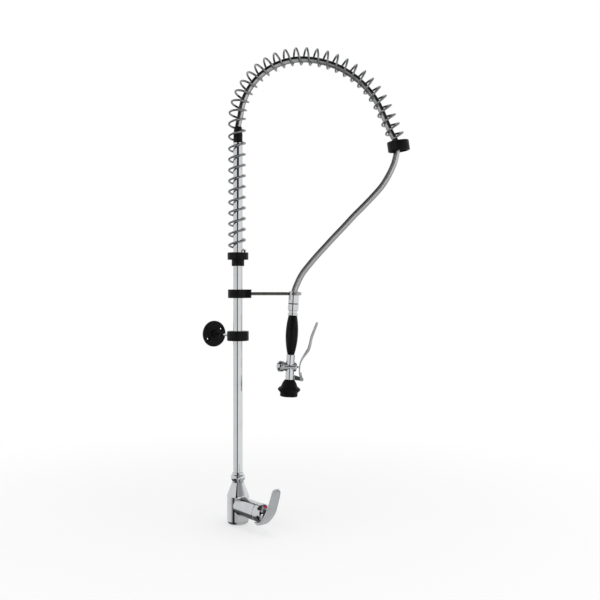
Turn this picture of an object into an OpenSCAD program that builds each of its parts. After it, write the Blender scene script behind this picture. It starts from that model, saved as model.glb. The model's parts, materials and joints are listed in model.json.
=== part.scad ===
// Pre-rinse faucet: a single-lever mixer, a tall riser with a spring arch, a hose, and a trigger spray gun.
// Frame: the origin is the centre of the mixer's deck face, +Z runs up the riser, and the arch reaches to +X.
// All sizes are millimetres and all angles are degrees.

/* [Mixer body] */
// Diameter of the mixer body
body_d = 50; // [46:1:56]
// Height of the body's straight part
body_h = 66; // [62:1:80]
// Radius of the body's lower edge
base_round = 8; // [4:1:8]
// Height of the cone above the straight part
cone_h = 30; // [24:1:40]
// Diameter at the top of the cone
cone_top_d = 27; // [27:0.5:32]
// Radius of the water inlets' threads
inlet_r = 5; // [4:0.5:5]
// Depth of the water inlets' threads
inlet_depth = 16; // [12:1:20]
// Distance of each water inlet from the body's axis
inlet_offset = 8.5; // [8:0.25:9]
// Radius of the fixing stud's thread
stud_r = 4; // [3:0.5:4]
// Depth of the fixing stud's thread
stud_depth = 18; // [12:1:20]
// Distance of the fixing stud from the body's axis
stud_offset = 10; // [9:0.5:10.5]

/* [Cartridge housing] */
// Angle of the housing to the right of the arch, seen from above
housing_angle = 52.5; // [30:0.5:90]
// Height of the housing's axis
housing_z = 43; // [41:1:44]
// Diameter of the housing
housing_d = 42; // [41:0.5:44]
// Distance of the housing's end from the body's axis
housing_end = 86; // [84:1:96]
// Diameter of the ceramic cartridge
cartridge_d = 35; // [32:0.5:35]
// Length of the cartridge's wide part
cartridge_l = 29; // [27:1:30]

/* [Lever] */
// Diameter of the lever's hub
hub_d = 44; // [42:0.5:46]
// Length of the hub's straight part
hub_l = 10; // [9:0.5:12]
// Height of the hub's domed front
hub_dome_h = 19; // [16:0.5:22]
// Width of the lever's paddle
paddle_w = 26; // [18:1:28]
// Thickness of the lever's paddle
paddle_t = 4.5; // [3.5:0.25:5]
// Width of the square stem that turns the cartridge
stem_w = 7; // [6:0.25:7.5]
// Angle through which the lever lifts
lever_lift_max = 18; // [10:1:18]

/* [Riser] */
// Diameter of the riser tube
riser_d = 22; // [20:0.5:23]
// Wall of the riser tube
riser_wall = 1.5; // [1:0.1:2]
// Height of the riser tube's upper end
riser_top = 874; // [850:2:900]
// Height of the union nut
nut_h = 22; // [20:1:26]
// Greatest diameter of the union nut
nut_d = 33; // [31:0.5:36]

/* [Arch spring] */
// Diameter of the spring wire
wire_d = 4; // [3:0.25:5]
// Mean diameter of the spring's coils
coil_d = 37; // [35:0.5:40]
// Radius of the arch's rising side
arch_r_left = 149.2; // [140:0.2:160]
// Radius of the arch's falling side
arch_r_right = 207; // [200:1:215]
// Angle of the falling arc
arch_fall = 66.7; // [60:0.1:70]
// Height where the arch starts to curve
arch_z = 923.9; // [915:0.1:940]
// Length of the straight stretch before the end collar
arch_tail = 75.6; // [70:0.2:80]
// Distance between coils on the upright stretch
pitch_low = 24.6; // [22:0.2:28]
// Distance between coils beside the hose sleeve
pitch_sleeve = 29; // [26:0.5:32]
// Distance between coils along the arch
pitch_arch = 22.6; // [20:0.2:26]

/* [Collars] */
// Diameter of the lower spring collar's flange
collar_d = 48; // [46:0.5:54]
// Height of the lower spring collar's flange
collar_flange_h = 16.8; // [12:0.2:20]
// Diameter of the lower spring collar's hub
collar_hub_d = 29; // [27:0.5:34]
// Height of the lower spring collar's hub
collar_hub_h = 14.4; // [12:0.2:20]
// Height of the lower spring collar's upper face
collar_top = 622.2; // [600:0.2:650]
// Diameter of the arch's end collar
end_collar_d = 50.5; // [48:0.5:56]
// Height of the arch's end collar
end_collar_h = 24; // [20:0.5:28]
// Tilt of the end collar
end_collar_tilt = 8; // [0:0.5:12]

/* [Hose] */
// Diameter of the hose
hose_d = 14; // [12:0.5:14.5]
// Distance of the hose from the middle of the arch's coils
hose_lean = 7; // [5:0.1:7]
// Diameter of the sleeve at the riser's top
sleeve_d = 21; // [20:0.5:23]
// Diameter of the sleeve's upper end
sleeve_top_d = 17.4; // [17:0.1:19]
// Length of the sleeve
sleeve_l = 37; // [34:1:42]

/* [Hook] */
// Height of the hook's rod
hook_z = 527.4; // [520:0.2:535]
// Diameter of the hook's clamp
hook_clamp_d = 46; // [42:1:52]
// Height of the hook's clamp
hook_clamp_h = 19.5; // [16:0.5:24]
// Distance of the clamp's boss from the riser's axis
hook_boss_x = 30.6; // [28:0.2:34]
// Diameter of the hook's rod
hook_rod_d = 7.5; // [6:0.25:9]
// Distance of the hook's ring from the riser's axis
hook_x = 128.6; // [124:0.2:134]
// Thickness of the ring's band
ring_t = 4.3; // [3:0.1:5]
// Height of the ring's band
ring_h = 7; // [6:0.25:7]
// Clearance between the ring and the gun's nut
ring_clearance = 0.9; // [0.8:0.1:1.4]

/* [Wall bracket] */
// Height of the bracket's ring on the riser
bracket_z = 430.5; // [380:0.5:480]
// Diameter of the bracket's ring
bracket_d = 50; // [46:1:56]
// Height of the bracket's ring
bracket_h = 22; // [16:0.5:24]
// Diameter of the bracket's rod
bracket_rod_d = 6; // [5:0.25:8]
// Distance of the wall from the riser's axis
wall_distance = 105.5; // [90:0.5:120]
// Diameter of the wall flange
flange_d = 62; // [56:1:70]
// Thickness of the wall flange
flange_t = 7; // [5:0.5:9]
// Diameter of the circle of the flange's screw holes
flange_pcd = 43; // [36:1:46]
// Diameter of the flange's screw holes
flange_hole_d = 4.8; // [4:0.1:6]
// Angle of the line of screw holes above the horizontal
flange_hole_angle = 148; // [0:1:180]

/* [Spray gun] */
// Tilt of the gun's axis
gun_tilt = 2.9; // [0:0.1:4]
// Diameter of the hose nut
hose_nut_d = 24.4; // [23:0.2:26]
// Length of the hose nut
hose_nut_l = 27.7; // [24:0.1:32]
// Length of the hose nut above the ring's middle
hose_nut_rise = 5.3; // [5:0.1:9]
// Diameter of the swivel sleeve
swivel_d = 25; // [24:0.2:27]
// Length of the swivel sleeve
swivel_l = 15; // [12:0.5:20]
// Diameter of the tube inside the handle
core_d = 12; // [10:0.5:13]
// Length of the rubber grip
grip_l = 90; // [80:1:110]
// Greatest diameter of the grip
grip_d = 28.7; // [26:0.1:32]
// Diameter of the grip's upper end
grip_top_d = 19.5; // [18:0.1:22]
// Diameter of the grip's lower end
grip_bottom_d = 16; // [15:0.1:20]
// Diameter of the valve's upright tube
valve_tube_d = 20; // [19:0.2:22]
// Length of the valve's upright tube
valve_tube_l = 58; // [56:1:64]
// Height of the cross tube above the lower end of the valve's tube
cross_rise = 29.8; // [29:0.2:32]
// Diameter of the cross tube
cross_d = 20.7; // [20:0.1:24]
// Diameter of the valve's domed cap
cap_d = 26; // [24:0.5:30]
// Distance of the trigger's pin from the gun's axis
pivot_x = 28; // [27:0.2:30]
// Width of the trigger
trigger_w = 14; // [12:0.5:18]
// Thickness of the trigger's strip
trigger_t = 3.5; // [2.5:0.25:4.5]
// Diameter of the spray head's rubber
head_d = 40; // [38:0.5:46]
// Diameter of the rubber's bumper
bumper_d = 52; // [48:0.5:60]
// Length of the spray head
head_l = 38; // [36:0.5:44]

/* [Hidden] */

$fn = 64;
// Radial clearance of a running fit, and of a piece seated in its bore
run_fit = 0.08;
seat_fit = 0.05;
// Gap between faces that pass each other, and a length that lets a cut run clear
face_gap = 0.3;
cut = 1;

black = [0.07, 0.07, 0.075];
chrome = [0.78, 0.79, 0.81];
brass = [0.78, 0.64, 0.35];
steel = [0.62, 0.63, 0.65];
rubber = [0.1, 0.1, 0.1];
hose_grey = [0.55, 0.55, 0.53];

// ---- Shapes that repeat ----

// A solid of revolution from its half outline, points of [radius, height]
module turned(outline) {
    rotate_extrude($fn = 96) polygon(outline);
}

// A round tube from z = 0 upward
module tube(r_out, r_in, h) {
    difference() {
        cylinder(r = r_out, h = h, $fn = 96);
        translate([0, 0, -cut]) cylinder(r = r_in, h = h + 2 * cut, $fn = 96);
    }
}

// A cylinder along +X from x0 to x1
module bar_x(r, x0, x1) {
    translate([x0, 0, 0]) rotate([0, 90, 0]) cylinder(r = r, h = x1 - x0, $fn = 96);
}

// A cylinder along +Y from y0 to y1
module bar_y(r, y0, y1) {
    translate([0, y0, 0]) rotate([-90, 0, 0]) cylinder(r = r, h = y1 - y0, $fn = 48);
}

// A headless screw with a hexagonal socket, pointing along +Y from y = 0
module grub_screw(r, l) {
    hex_r = r * 0.55;
    difference() {
        bar_y(r, 0, l);
        translate([0, l - r, 0]) rotate([-90, 0, 0]) cylinder(r = hex_r, h = r + cut, $fn = 6);
    }
}

// Points on a quarter arc about a centre, from angle a0 to a1
function arc(cx, cy, r, a0, a1, steps = 8) =
    [for (i = [0 : steps]) let (a = a0 + (a1 - a0) * i / steps) [cx + r * cos(a), cy + r * sin(a)]];

// ---- Swept tubes ----

function unit(v) = v / norm(v);
function ring_points(p, n, b, r, sides) =
    [for (k = [0 : sides - 1]) p + r * (cos(360 * k / sides) * n + sin(360 * k / sides) * b)];
function path_tangent(path, i) =
    unit(path[min(i + 1, len(path) - 1)] - path[max(i - 1, 0)]);
// Turns a normal so that it stays square to the next tangent
function carried(n, t) = unit(n - (n * t) * t);
function carried_normals(path, first) =
    [for (i = 0, n = carried(first, path_tangent(path, 0)); i < len(path);
        i = i + 1, n = i < len(path) ? carried(n, path_tangent(path, i)) : n) n];
function tube_faces(rings, sides) = concat(
    [for (i = [0 : rings - 2], k = [0 : sides - 1])
        let (a = i * sides + k, b = i * sides + (k + 1) % sides) [a, a + sides, b]],
    [for (i = [0 : rings - 2], k = [0 : sides - 1])
        let (a = i * sides + k, b = i * sides + (k + 1) % sides) [b, a + sides, b + sides]],
    [for (k = [1 : sides - 2]) [0, k, k + 1]],
    [for (k = [1 : sides - 2]) let (last = (rings - 1) * sides) [last, last + k + 1, last + k]]);

// One unbroken tube of the given radius along a path of points
module swept_tube(path, r, sides, first = [0, 1, 0]) {
    normals = carried_normals(path, first);
    points = [for (i = [0 : len(path) - 1])
        each ring_points(path[i], normals[i], cross(path_tangent(path, i), normals[i]), r, sides)];
    polyhedron(points = points, faces = tube_faces(len(path), sides), convexity = 10);
}

// ---- Mixer ----

body_r = body_d / 2;
cone_top = body_h + cone_h;
housing_r = housing_d / 2;
spigot_r = riser_d / 2 + 1;
spigot_h = 10;
socket_r = riser_d / 2 - riser_wall - 0.4;
socket_bottom = cone_top - 16;
chamber_r = cartridge_d / 2 + seat_fit;
// Room in front of the cartridge for its nut and its domed cover
cover_room = 12;
gasket_t = 1;
cartridge_front = housing_end - cover_room;
cartridge_back = cartridge_front - cartridge_l;
cover_r = housing_r - 2.7;
port_r = 3.2;
port_low = 6;
port_high = 9;
port_side = inlet_offset;

// Turns +X to point along the cartridge housing, at its height
module along_housing(z = housing_z) {
    translate([0, 0, z]) rotate([0, 0, -housing_angle]) children();
}

// The three water ways, from x0 to x1 along the housing
module ports(x0, x1) {
    for (side = [-1, 1])
        translate([0, side * port_side, -port_low]) bar_x(port_r, x0, x1);
    translate([0, 0, port_high]) bar_x(port_r, x0, x1);
}

module mixer_body() {
    color(chrome) difference() {
        union() {
            turned(concat([[0, 0]], arc(body_r - base_round, base_round, base_round, -90, 0),
                [[body_r, body_h], [cone_top_d / 2, cone_top], [0, cone_top]]));
            translate([0, 0, cone_top - cut]) cylinder(r = spigot_r, h = spigot_h + cut, $fn = 96);
            along_housing() bar_x(housing_r, 0, housing_end);
        }
        translate([0, 0, socket_bottom]) cylinder(r = socket_r, h = cone_h + spigot_h, $fn = 96);
        translate([0, 0, housing_z + port_high])
            cylinder(r = port_r, h = socket_bottom - housing_z - port_high + cut, $fn = 48);
        along_housing() {
            bar_x(chamber_r, cartridge_back - gasket_t, housing_end + cut);
            bar_x(cover_r, cartridge_front, housing_end + cut);
            ports(-port_r, cartridge_back);
        }
        along_housing(-cut) {
            for (side = [-1, 1]) translate([0, side * port_side, 0]) {
                cylinder(r = inlet_r, h = inlet_depth + cut);
                cylinder(r = port_r, h = housing_z - port_low + cut);
            }
            translate([-stud_offset, 0, 0]) cylinder(r = stud_r, h = stud_depth + cut);
        }
    }
}

module cartridge_gasket() {
    color(rubber) along_housing() difference() {
        bar_x(chamber_r - seat_fit, cartridge_back - gasket_t, cartridge_back);
        ports(cartridge_back - gasket_t - cut, cartridge_back + cut);
    }
}

neck_r = 11;
neck_l = 6;
carrier_r = 9;
carrier_l = 18.5;
neck_front = cartridge_front + neck_l;
carrier_back = neck_front - carrier_l;

module cartridge() {
    color([0.9, 0.9, 0.86]) along_housing() difference() {
        union() {
            bar_x(cartridge_d / 2, cartridge_back, cartridge_front);
            bar_x(neck_r, cartridge_back, neck_front);
        }
        ports(cartridge_back - cut, carrier_back);
        bar_x(carrier_r, carrier_back - face_gap, neck_front + cut);
    }
}

module cartridge_nut() {
    color(brass) along_housing() difference() {
        bar_x(cover_r - seat_fit, cartridge_front, neck_front);
        bar_x(neck_r + seat_fit, cartridge_front - cut, neck_front + cut);
    }
}

// The lever tilts about this line, which crosses the cartridge
tilt_x = cartridge_front;
dome_r = housing_r - 0.5;
dome_wall = 1.5;
dome_hole_r = 12.5;
dome_gap = 0.7;
hub_back = housing_end + 2;
hub_front = hub_back + hub_l + hub_dome_h;

// A ball about the tilt line
module tilt_ball(r) {
    translate([tilt_x, 0, 0]) rotate([0, 90, 0]) sphere(r = r, $fn = 96);
}

module cartridge_cover() {
    color(chrome) along_housing() difference() {
        intersection() {
            tilt_ball(dome_r);
            bar_x(cover_r - seat_fit, neck_front + face_gap, housing_end + hub_d);
        }
        tilt_ball(dome_r - dome_wall);
        bar_x(dome_hole_r, neck_front, housing_end + hub_d);
    }
}

slot_half = carrier_r - 1.7;
pin_r = 1.5;

module cartridge_carrier() {
    color([0.85, 0.85, 0.8]) along_housing() difference() {
        bar_x(carrier_r - run_fit, carrier_back, neck_front);
        translate([carrier_back + 2, -stem_w / 2 - run_fit, -slot_half])
            cube([carrier_l, stem_w + 2 * run_fit, 2 * slot_half]);
        translate([tilt_x, 0, 0]) bar_y(pin_r + run_fit, -carrier_r - cut, carrier_r + cut);
    }
}

stem_back = tilt_x - 7;
stem_front = hub_back + 16;

module cartridge_stem() {
    color(brass) along_housing() difference() {
        translate([stem_back, -stem_w / 2, -stem_w / 2]) cube([stem_front - stem_back, stem_w, stem_w]);
        translate([tilt_x, 0, 0]) bar_y(pin_r + seat_fit, -stem_w, stem_w);
    }
}

module stem_pin() {
    color(steel) along_housing() translate([tilt_x, 0, 0]) bar_y(pin_r, -carrier_r + cut, carrier_r - cut);
}

// Middle line of the paddle, as distance along the housing and height above its axis
paddle_line = [[80, -23.8], [90, -24.2], [99, -22.8], [113, -12], [128.5, 5], [137, 22], [143, 36],
    [147.5, 47], [150, 57], [151, 65]];
paddle_tip = 65;
paddle_tip_r = 9.5;

function offset_line(line, d) = [for (i = [0 : len(line) - 1])
    let (t = unit(line[min(i + 1, len(line) - 1)] - line[max(i - 1, 0)])) line[i] + d * [-t[1], t[0]]];
function strip(line, t) = concat(offset_line(line, t / 2),
    [for (i = [len(line) - 1 : -1 : 0]) offset_line(line, -t / 2)[i]]);

// The plate seen from the side, pushed out to its width and rounded at its tip
module paddle() {
    intersection() {
        translate([0, paddle_w / 2, 0]) rotate([90, 0, 0]) linear_extrude(paddle_w)
            polygon(strip(paddle_line, paddle_t));
        rotate([90, 0, 90]) linear_extrude(2 * housing_end) union() {
            translate([-paddle_w / 2, -hub_d]) square([paddle_w, hub_d + paddle_tip / 2]);
            hull() {
                translate([-paddle_w / 2, 0]) square([paddle_w, paddle_tip / 2]);
                translate([0, paddle_tip - paddle_tip_r]) circle(r = paddle_tip_r, $fn = 48);
            }
        }
    }
}

// Outline of the hub, from its back to its domed front, with its centre line along +Z
hub_outline = concat([[0, 0], [hub_d / 2, 0], [hub_d / 2, hub_l]],
    [for (a = [10 : 10 : 90]) [hub_d / 2 * cos(a), hub_l + hub_dome_h * sin(a)]]);
lever_screw_r = 2.5;
lever_screw_x = hub_back + 12;
mark_r = 4.8;
mark_depth = 1.2;
// The marks' place round the dome, and the slope of its surface there
mark_share = 35;
mark_turn = 55;
mark_slope = atan(hub_d / 2 / hub_dome_h * tan(mark_share));

// Places the index marks in the hub's dome, with +Z pointing out of its surface
module at_mark() {
    translate([hub_back + hub_l + hub_dome_h * sin(mark_share), 0, hub_d / 2 * cos(mark_share)])
        rotate([0, mark_slope, 0]) rotate([0, 0, mark_turn])
            translate([0, 0, 0.2 - mark_depth]) children();
}

module mixer_lever() {
    color(chrome) along_housing() difference() {
        union() {
            difference() {
                translate([hub_back, 0, 0]) rotate([0, 90, 0]) turned(hub_outline);
                // The lower back of the hub is cut at the lift angle, to clear the housing when lifted
                translate([hub_back, -hub_d, 0]) rotate([0, -lever_lift_max - 2, 0])
                    translate([-hub_d, 0, -hub_d]) cube([hub_d, 2 * hub_d, hub_d]);
            }
            paddle();
        }
        tilt_ball(dome_r + dome_gap);
        translate([stem_back, -stem_w / 2 - seat_fit, -stem_w / 2 - seat_fit])
            cube([stem_front - stem_back + seat_fit, stem_w + 2 * seat_fit, stem_w + 2 * seat_fit]);
        translate([lever_screw_x, 0, 0]) bar_y(lever_screw_r, stem_w / 2, hub_d);
        at_mark() cylinder(r = mark_r + seat_fit, h = mark_depth + 4, $fn = 48);
    }
}

module lever_screw() {
    color(steel) along_housing() translate([lever_screw_x, stem_w / 2 + 2 * seat_fit, 0])
        grub_screw(lever_screw_r - seat_fit, 9);
}

// Half of the round index mark, on the side given by +1 or -1
module index_half(side) {
    along_housing() at_mark() intersection() {
        cylinder(r = mark_r, h = mark_depth, $fn = 48);
        translate([0, -2 * mark_r + side * (2 * mark_r + seat_fit / 2), -cut])
            translate([-2 * mark_r, 0, 0]) cube([4 * mark_r, 4 * mark_r, mark_depth + 2 * cut]);
    }
}

module hot_mark() {
    color([0.8, 0.1, 0.15]) index_half(-1);
}

module cold_mark() {
    color([0.1, 0.2, 0.6]) index_half(1);
}

// ---- Riser ----

riser_r = riser_d / 2;
riser_in_r = riser_r - riser_wall;
foot_flange_t = 1.6;
foot_flange_z = cone_top + spigot_h + face_gap;
riser_bottom = foot_flange_z + foot_flange_t;
nut_gap = 0.2;
nut_bore_r = spigot_r + seat_fit;
foot_bore_r = 6;
groove_h = 2;
groove_r = socket_r - 1.7;
seal_r = 0.8;
seal_heights = [socket_bottom + 6, socket_bottom + 12];

module union_nut() {
    color(chrome) difference() {
        translate([0, 0, cone_top]) turned(concat([[0, 0], [cone_top_d / 2, 0]],
            [for (a = [-60 : 20 : 60]) [nut_d / 2 - 5 + 5 * cos(a), nut_h * (0.45 + sin(a) * 0.36)]],
            [[riser_r + 1.25, nut_h], [0, nut_h]]));
        translate([0, 0, cone_top - cut])
            cylinder(r = nut_bore_r, h = riser_bottom + nut_gap - cone_top + cut, $fn = 96);
        translate([0, 0, cone_top]) cylinder(r = riser_r + run_fit, h = nut_h + cut, $fn = 96);
    }
}

module riser_foot() {
    color(brass) difference() {
        union() {
            translate([0, 0, socket_bottom + 1])
                cylinder(r = socket_r - run_fit, h = riser_bottom - socket_bottom + cut, $fn = 96);
            translate([0, 0, foot_flange_z]) cylinder(r = spigot_r - run_fit, h = foot_flange_t, $fn = 96);
            translate([0, 0, foot_flange_z]) cylinder(r = riser_in_r - seat_fit, h = 14, $fn = 96);
        }
        translate([0, 0, socket_bottom]) cylinder(r = foot_bore_r, h = 3 * cone_h);
        for (z = seal_heights)
            translate([0, 0, z - groove_h / 2]) tube(riser_r, groove_r, groove_h);
    }
}

module riser_seals() {
    color(rubber) for (z = seal_heights)
        translate([0, 0, z]) rotate_extrude($fn = 96)
            translate([groove_r + seal_r + seat_fit, 0]) circle(r = seal_r, $fn = 24);
}

module riser_tube() {
    color(chrome) translate([0, 0, riser_bottom]) tube(riser_r, riser_in_r, riser_top - riser_bottom);
}

collar_bottom = collar_top - collar_flange_h - collar_hub_h;
collar_screw_z = collar_bottom + collar_hub_h / 2;
small_screw_r = 2;

module spring_collar() {
    color(black) difference() {
        translate([0, 0, collar_bottom]) turned([[0, 0], [collar_hub_d / 2 - 1, 0], [collar_hub_d / 2, 1],
            [collar_hub_d / 2, collar_hub_h], [collar_d / 2 - 1.5, collar_hub_h],
            [collar_d / 2, collar_hub_h + 1.5], [collar_d / 2, collar_hub_h + collar_flange_h - 1.5],
            [collar_d / 2 - 1.5, collar_hub_h + collar_flange_h], [0, collar_hub_h + collar_flange_h]]);
        translate([0, 0, collar_bottom - cut])
            cylinder(r = riser_r + seat_fit, h = collar_hub_h + collar_flange_h + 2 * cut, $fn = 96);
        translate([0, 0, collar_screw_z]) bar_y(small_screw_r, 0, collar_d);
    }
}

module collar_screw() {
    color(steel) translate([0, riser_r + 2 * seat_fit, collar_screw_z])
        grub_screw(small_screw_r - seat_fit, collar_hub_d / 2 - riser_r - 1);
}

// ---- Arch spring: its middle line lies in the XZ plane and leans from the upright along its length ----

arch_x = -2;
arch_top_x = arch_x + arch_r_left;
arch_top_z = arch_z + arch_r_left;
rise_l = arch_z - collar_top;
left_l = arch_r_left * PI / 2;
right_l = arch_r_right * arch_fall * PI / 180;
arch_l = rise_l + left_l + right_l + arch_tail;
arch_end_lean = 90 + arch_fall;
right_center = [arch_top_x, arch_top_z - arch_r_right];
fall_point = right_center + arch_r_right * [sin(arch_fall), cos(arch_fall)];

// The lean at a length along the arch, in degrees from the upright
function arch_lean(u) =
    u < rise_l ? 0
    : u < rise_l + left_l ? (u - rise_l) / arch_r_left * 180 / PI
    : u < rise_l + left_l + right_l ? 90 + (u - rise_l - left_l) / arch_r_right * 180 / PI
    : arch_end_lean;
// The point [x, z] at a length along the arch, moved inward by a lean distance
function arch_point(u, inward = 0) =
    let (a = arch_lean(u), n = [cos(a), -sin(a)],
        p = u < rise_l ? [arch_x, collar_top + u]
            : u < rise_l + left_l ? [arch_top_x, arch_z] + arch_r_left * [-cos(a), sin(a)]
            : u < rise_l + left_l + right_l ? right_center + arch_r_right * [-cos(a), sin(a)]
            : fall_point + (u - rise_l - left_l - right_l) * [sin(a), cos(a)])
    p + inward * n;
function flat_to_3d(p) = [p[0], 0, p[1]];

coil_r = coil_d / 2;
rings_a_turn = 8;
wire_sides = 6;
sleeve_stretch = 2 * pitch_sleeve;
sleeve_start = rise_l - sleeve_stretch;
// The number of turns up to a length along the arch
function turns_at(u) =
    u < sleeve_start ? u / pitch_low
    : u < rise_l ? sleeve_start / pitch_low + (u - sleeve_start) / pitch_sleeve
    : sleeve_start / pitch_low + sleeve_stretch / pitch_sleeve + (u - rise_l) / pitch_arch;
// The length along the arch at a number of turns
function length_at(n) =
    let (n1 = sleeve_start / pitch_low, n2 = n1 + sleeve_stretch / pitch_sleeve)
    n < n1 ? n * pitch_low : n < n2 ? sleeve_start + (n - n1) * pitch_sleeve : rise_l + (n - n2) * pitch_arch;

coil_phase = 300;
function coil_point(n) =
    let (u = length_at(n), a = arch_lean(u), turn = 360 * n + coil_phase, c = flat_to_3d(arch_point(u)))
    c + coil_r * (cos(turn) * [cos(a), 0, -sin(a)] + sin(turn) * [0, 1, 0]);
// The height of the wire's middle above a collar that it rests on
wire_rest = wire_d / 2 + face_gap;

// The end collar's axis, and the point where it meets the collar's upper face
end_axis = [sin(end_collar_tilt), 0, -cos(end_collar_tilt)];
end_top_flat = arch_point(arch_l);
end_top = flat_to_3d(end_top_flat);
// The first turn, counted on from n, at which the wire reaches the end collar's upper face
function landing_turn(n) =
    (end_top - coil_point(n)) * end_axis < wire_rest ? n : landing_turn(n + 1 / 128);
coil_start_turn = wire_rest / pitch_low;
coil_end_turn = landing_turn(turns_at(arch_l - coil_r));
coil_steps = round((coil_end_turn - coil_start_turn) * rings_a_turn);
spring_path = [for (i = [0 : coil_steps])
    coil_point(coil_start_turn + (coil_end_turn - coil_start_turn) * i / coil_steps)];

// The least gap between the wire's surface and the next turns of the same wire
apart = rings_a_turn / 2;
spring_gap = min([for (i = [0 : len(spring_path) - 1 - apart], j = [i + apart : len(spring_path) - 1])
    norm(spring_path[i] - spring_path[j])]) - wire_d;
echo(least_gap_of_arch_spring = spring_gap);

module arch_spring() {
    color(chrome) swept_tube(spring_path, wire_d / 2, wire_sides, first = [0, 0, 1]);
}

// ---- Hose ----

hose_r = hose_d / 2;
hose_sides = 10;
hose_hole_r = hose_r + 0.35;
nipple_top = riser_top + 18;
nipple_r = 4;

module hose_nipple() {
    color(brass) difference() {
        union() {
            translate([0, 0, riser_top - 14]) cylinder(r = riser_in_r - seat_fit, h = 14);
            translate([0, 0, riser_top - cut]) cylinder(r = hose_r, h = nipple_top - riser_top + cut);
        }
        translate([0, 0, riser_top - 20]) cylinder(r = nipple_r, h = nipple_top - riser_top + 40);
    }
}

sleeve_taper = 18;

module hose_sleeve() {
    color(black) translate([0, 0, riser_top]) difference() {
        turned([[0, 0], [sleeve_d / 2 - 0.6, 0], [sleeve_d / 2, 0.6], [sleeve_d / 2, sleeve_l - sleeve_taper],
            [sleeve_top_d / 2, sleeve_l], [0, sleeve_l]]);
        translate([0, 0, -cut]) cylinder(r = hose_hole_r, h = sleeve_l + 2 * cut);
    }
}

// The hose leaves the sleeve and leans against the inner side of the coils, as [x, z] points
hose_start = [[0, nipple_top], [0, 902], [0.2, 911], [1.6, 920], [3.9, 930]];
hose_step = 22;
hose_from = rise_l + 16;
// Where the hose leaves the end collar, from the middle of the collar's upper face
hose_exit = end_top_flat + [-2, -12];
hose_way = [for (p = [[-3.2, 12.5], [-1, 6.5], [0, 2]]) hose_exit + p];
arch_hose_path = [for (p = concat(hose_start,
    [for (u = [hose_from : hose_step : arch_l - hose_step]) arch_point(u, hose_lean)],
    hose_way, [hose_exit])) flat_to_3d(p)];

module arch_hose() {
    color(hose_grey) swept_tube(arch_hose_path, hose_r, hose_sides);
}

end_bore_r = coil_r - 5;
end_recess_r = 20;
end_recess_h = 7;
end_round = 3;

// Turns +Z to run down the end collar's axis, from its upper face
module at_end_collar() {
    translate(end_top) rotate([0, 180 - end_collar_tilt, 0]) children();
}

module end_collar() {
    color(black) at_end_collar() difference() {
        turned(concat([[0, 0], [end_collar_d / 2 - 1.2, 0], [end_collar_d / 2, 1.2]],
            arc(end_collar_d / 2 - end_round, end_collar_h - end_round, end_round, 0, 90, 5),
            [[0, end_collar_h]]));
        translate([0, 0, -cut]) cylinder(r = end_bore_r, h = end_collar_h + 2 * cut, $fn = 96);
        translate([0, 0, end_collar_h - end_recess_h])
            cylinder(r = end_recess_r, h = end_recess_h + cut, $fn = 96);
    }
}

// Route of the free hose, from the end collar to the gun's nut, as [x, z] points
drop_points = [[365.2, 866.5], [365.2, 858], [364.5, 850], [361.5, 836], [357, 822], [346, 799],
    [331, 775], [311, 752], [288, 728], [265, 705], [243, 681], [221, 658], [199, 634], [178, 611],
    [158, 587], [149, 575], [142, 563], [136, 550], [132, 540], [129.4, 531], [128.5, 524]];
drop_last = drop_points[len(drop_points) - 1];
// The ring's place that the route was drawn for
ring_home = [128.6, 527.4];
// Each end of the route follows what holds it where that is moved
upper_shift = hose_exit - drop_points[0];
lower_shift = [hook_x, hook_z] - ring_home;
function drop_share(p) = (p[1] - drop_last[1]) / (drop_points[0][1] - drop_last[1]);
drop_route = [for (p = drop_points) p + drop_share(p) * upper_shift + (1 - drop_share(p)) * lower_shift];

module drop_hose() {
    color(hose_grey) swept_tube([for (p = drop_route) flat_to_3d(p)], hose_r, hose_sides);
}

// ---- Hook ----

clamp_r = hook_clamp_d / 2;
boss_w = 20;
rod_r = hook_rod_d / 2;
rod_start = riser_r + 4;
hose_nut_r = hose_nut_d / 2;
ring_in_r = hose_nut_r + ring_clearance;
ring_mid_r = ring_in_r + ring_t / 2;
ring_gap_mid = 135;
// The opening lets the hose out sideways, but not the nut
ring_gap_angle = 2 * asin((hose_d + ring_t + 1) / 2 / ring_mid_r);

module hook_clamp() {
    color(black) translate([0, 0, hook_z]) difference() {
        union() {
            translate([0, 0, -hook_clamp_h / 2]) cylinder(r = clamp_r, h = hook_clamp_h, $fn = 96);
            translate([0, -boss_w / 2, -hook_clamp_h / 2]) cube([hook_boss_x, boss_w, hook_clamp_h]);
        }
        translate([0, 0, -hook_clamp_h]) cylinder(r = riser_r + seat_fit, h = 2 * hook_clamp_h, $fn = 96);
        bar_x(rod_r + seat_fit, rod_start, hook_boss_x + cut);
        bar_y(small_screw_r, 0, clamp_r + cut);
        translate([hook_boss_x - 6, 0, 0]) bar_y(small_screw_r, 0, boss_w);
    }
}

module hook_rod() {
    ring_center = [hook_x, 0, 0];
    color(chrome) translate([0, 0, hook_z]) {
        bar_x(rod_r, rod_start, hook_x - ring_mid_r);
        translate(ring_center) rotate([0, 0, ring_gap_mid + ring_gap_angle / 2])
            rotate_extrude(angle = 360 - ring_gap_angle, $fn = 96) translate([ring_mid_r, 0]) ring_section();
    }
}

// The ring's band, with its corners taken off
module ring_section() {
    corner = 1;
    polygon([[-ring_t / 2, -ring_h / 2 + corner], [-ring_t / 2 + corner, -ring_h / 2],
        [ring_t / 2 - corner, -ring_h / 2], [ring_t / 2, -ring_h / 2 + corner],
        [ring_t / 2, ring_h / 2 - corner], [ring_t / 2 - corner, ring_h / 2],
        [-ring_t / 2 + corner, ring_h / 2], [-ring_t / 2, ring_h / 2 - corner]]);
}

module hook_clamp_screw() {
    color(steel) translate([0, riser_r + 2 * seat_fit, hook_z])
        grub_screw(small_screw_r - seat_fit, clamp_r - riser_r - 2);
}

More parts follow.
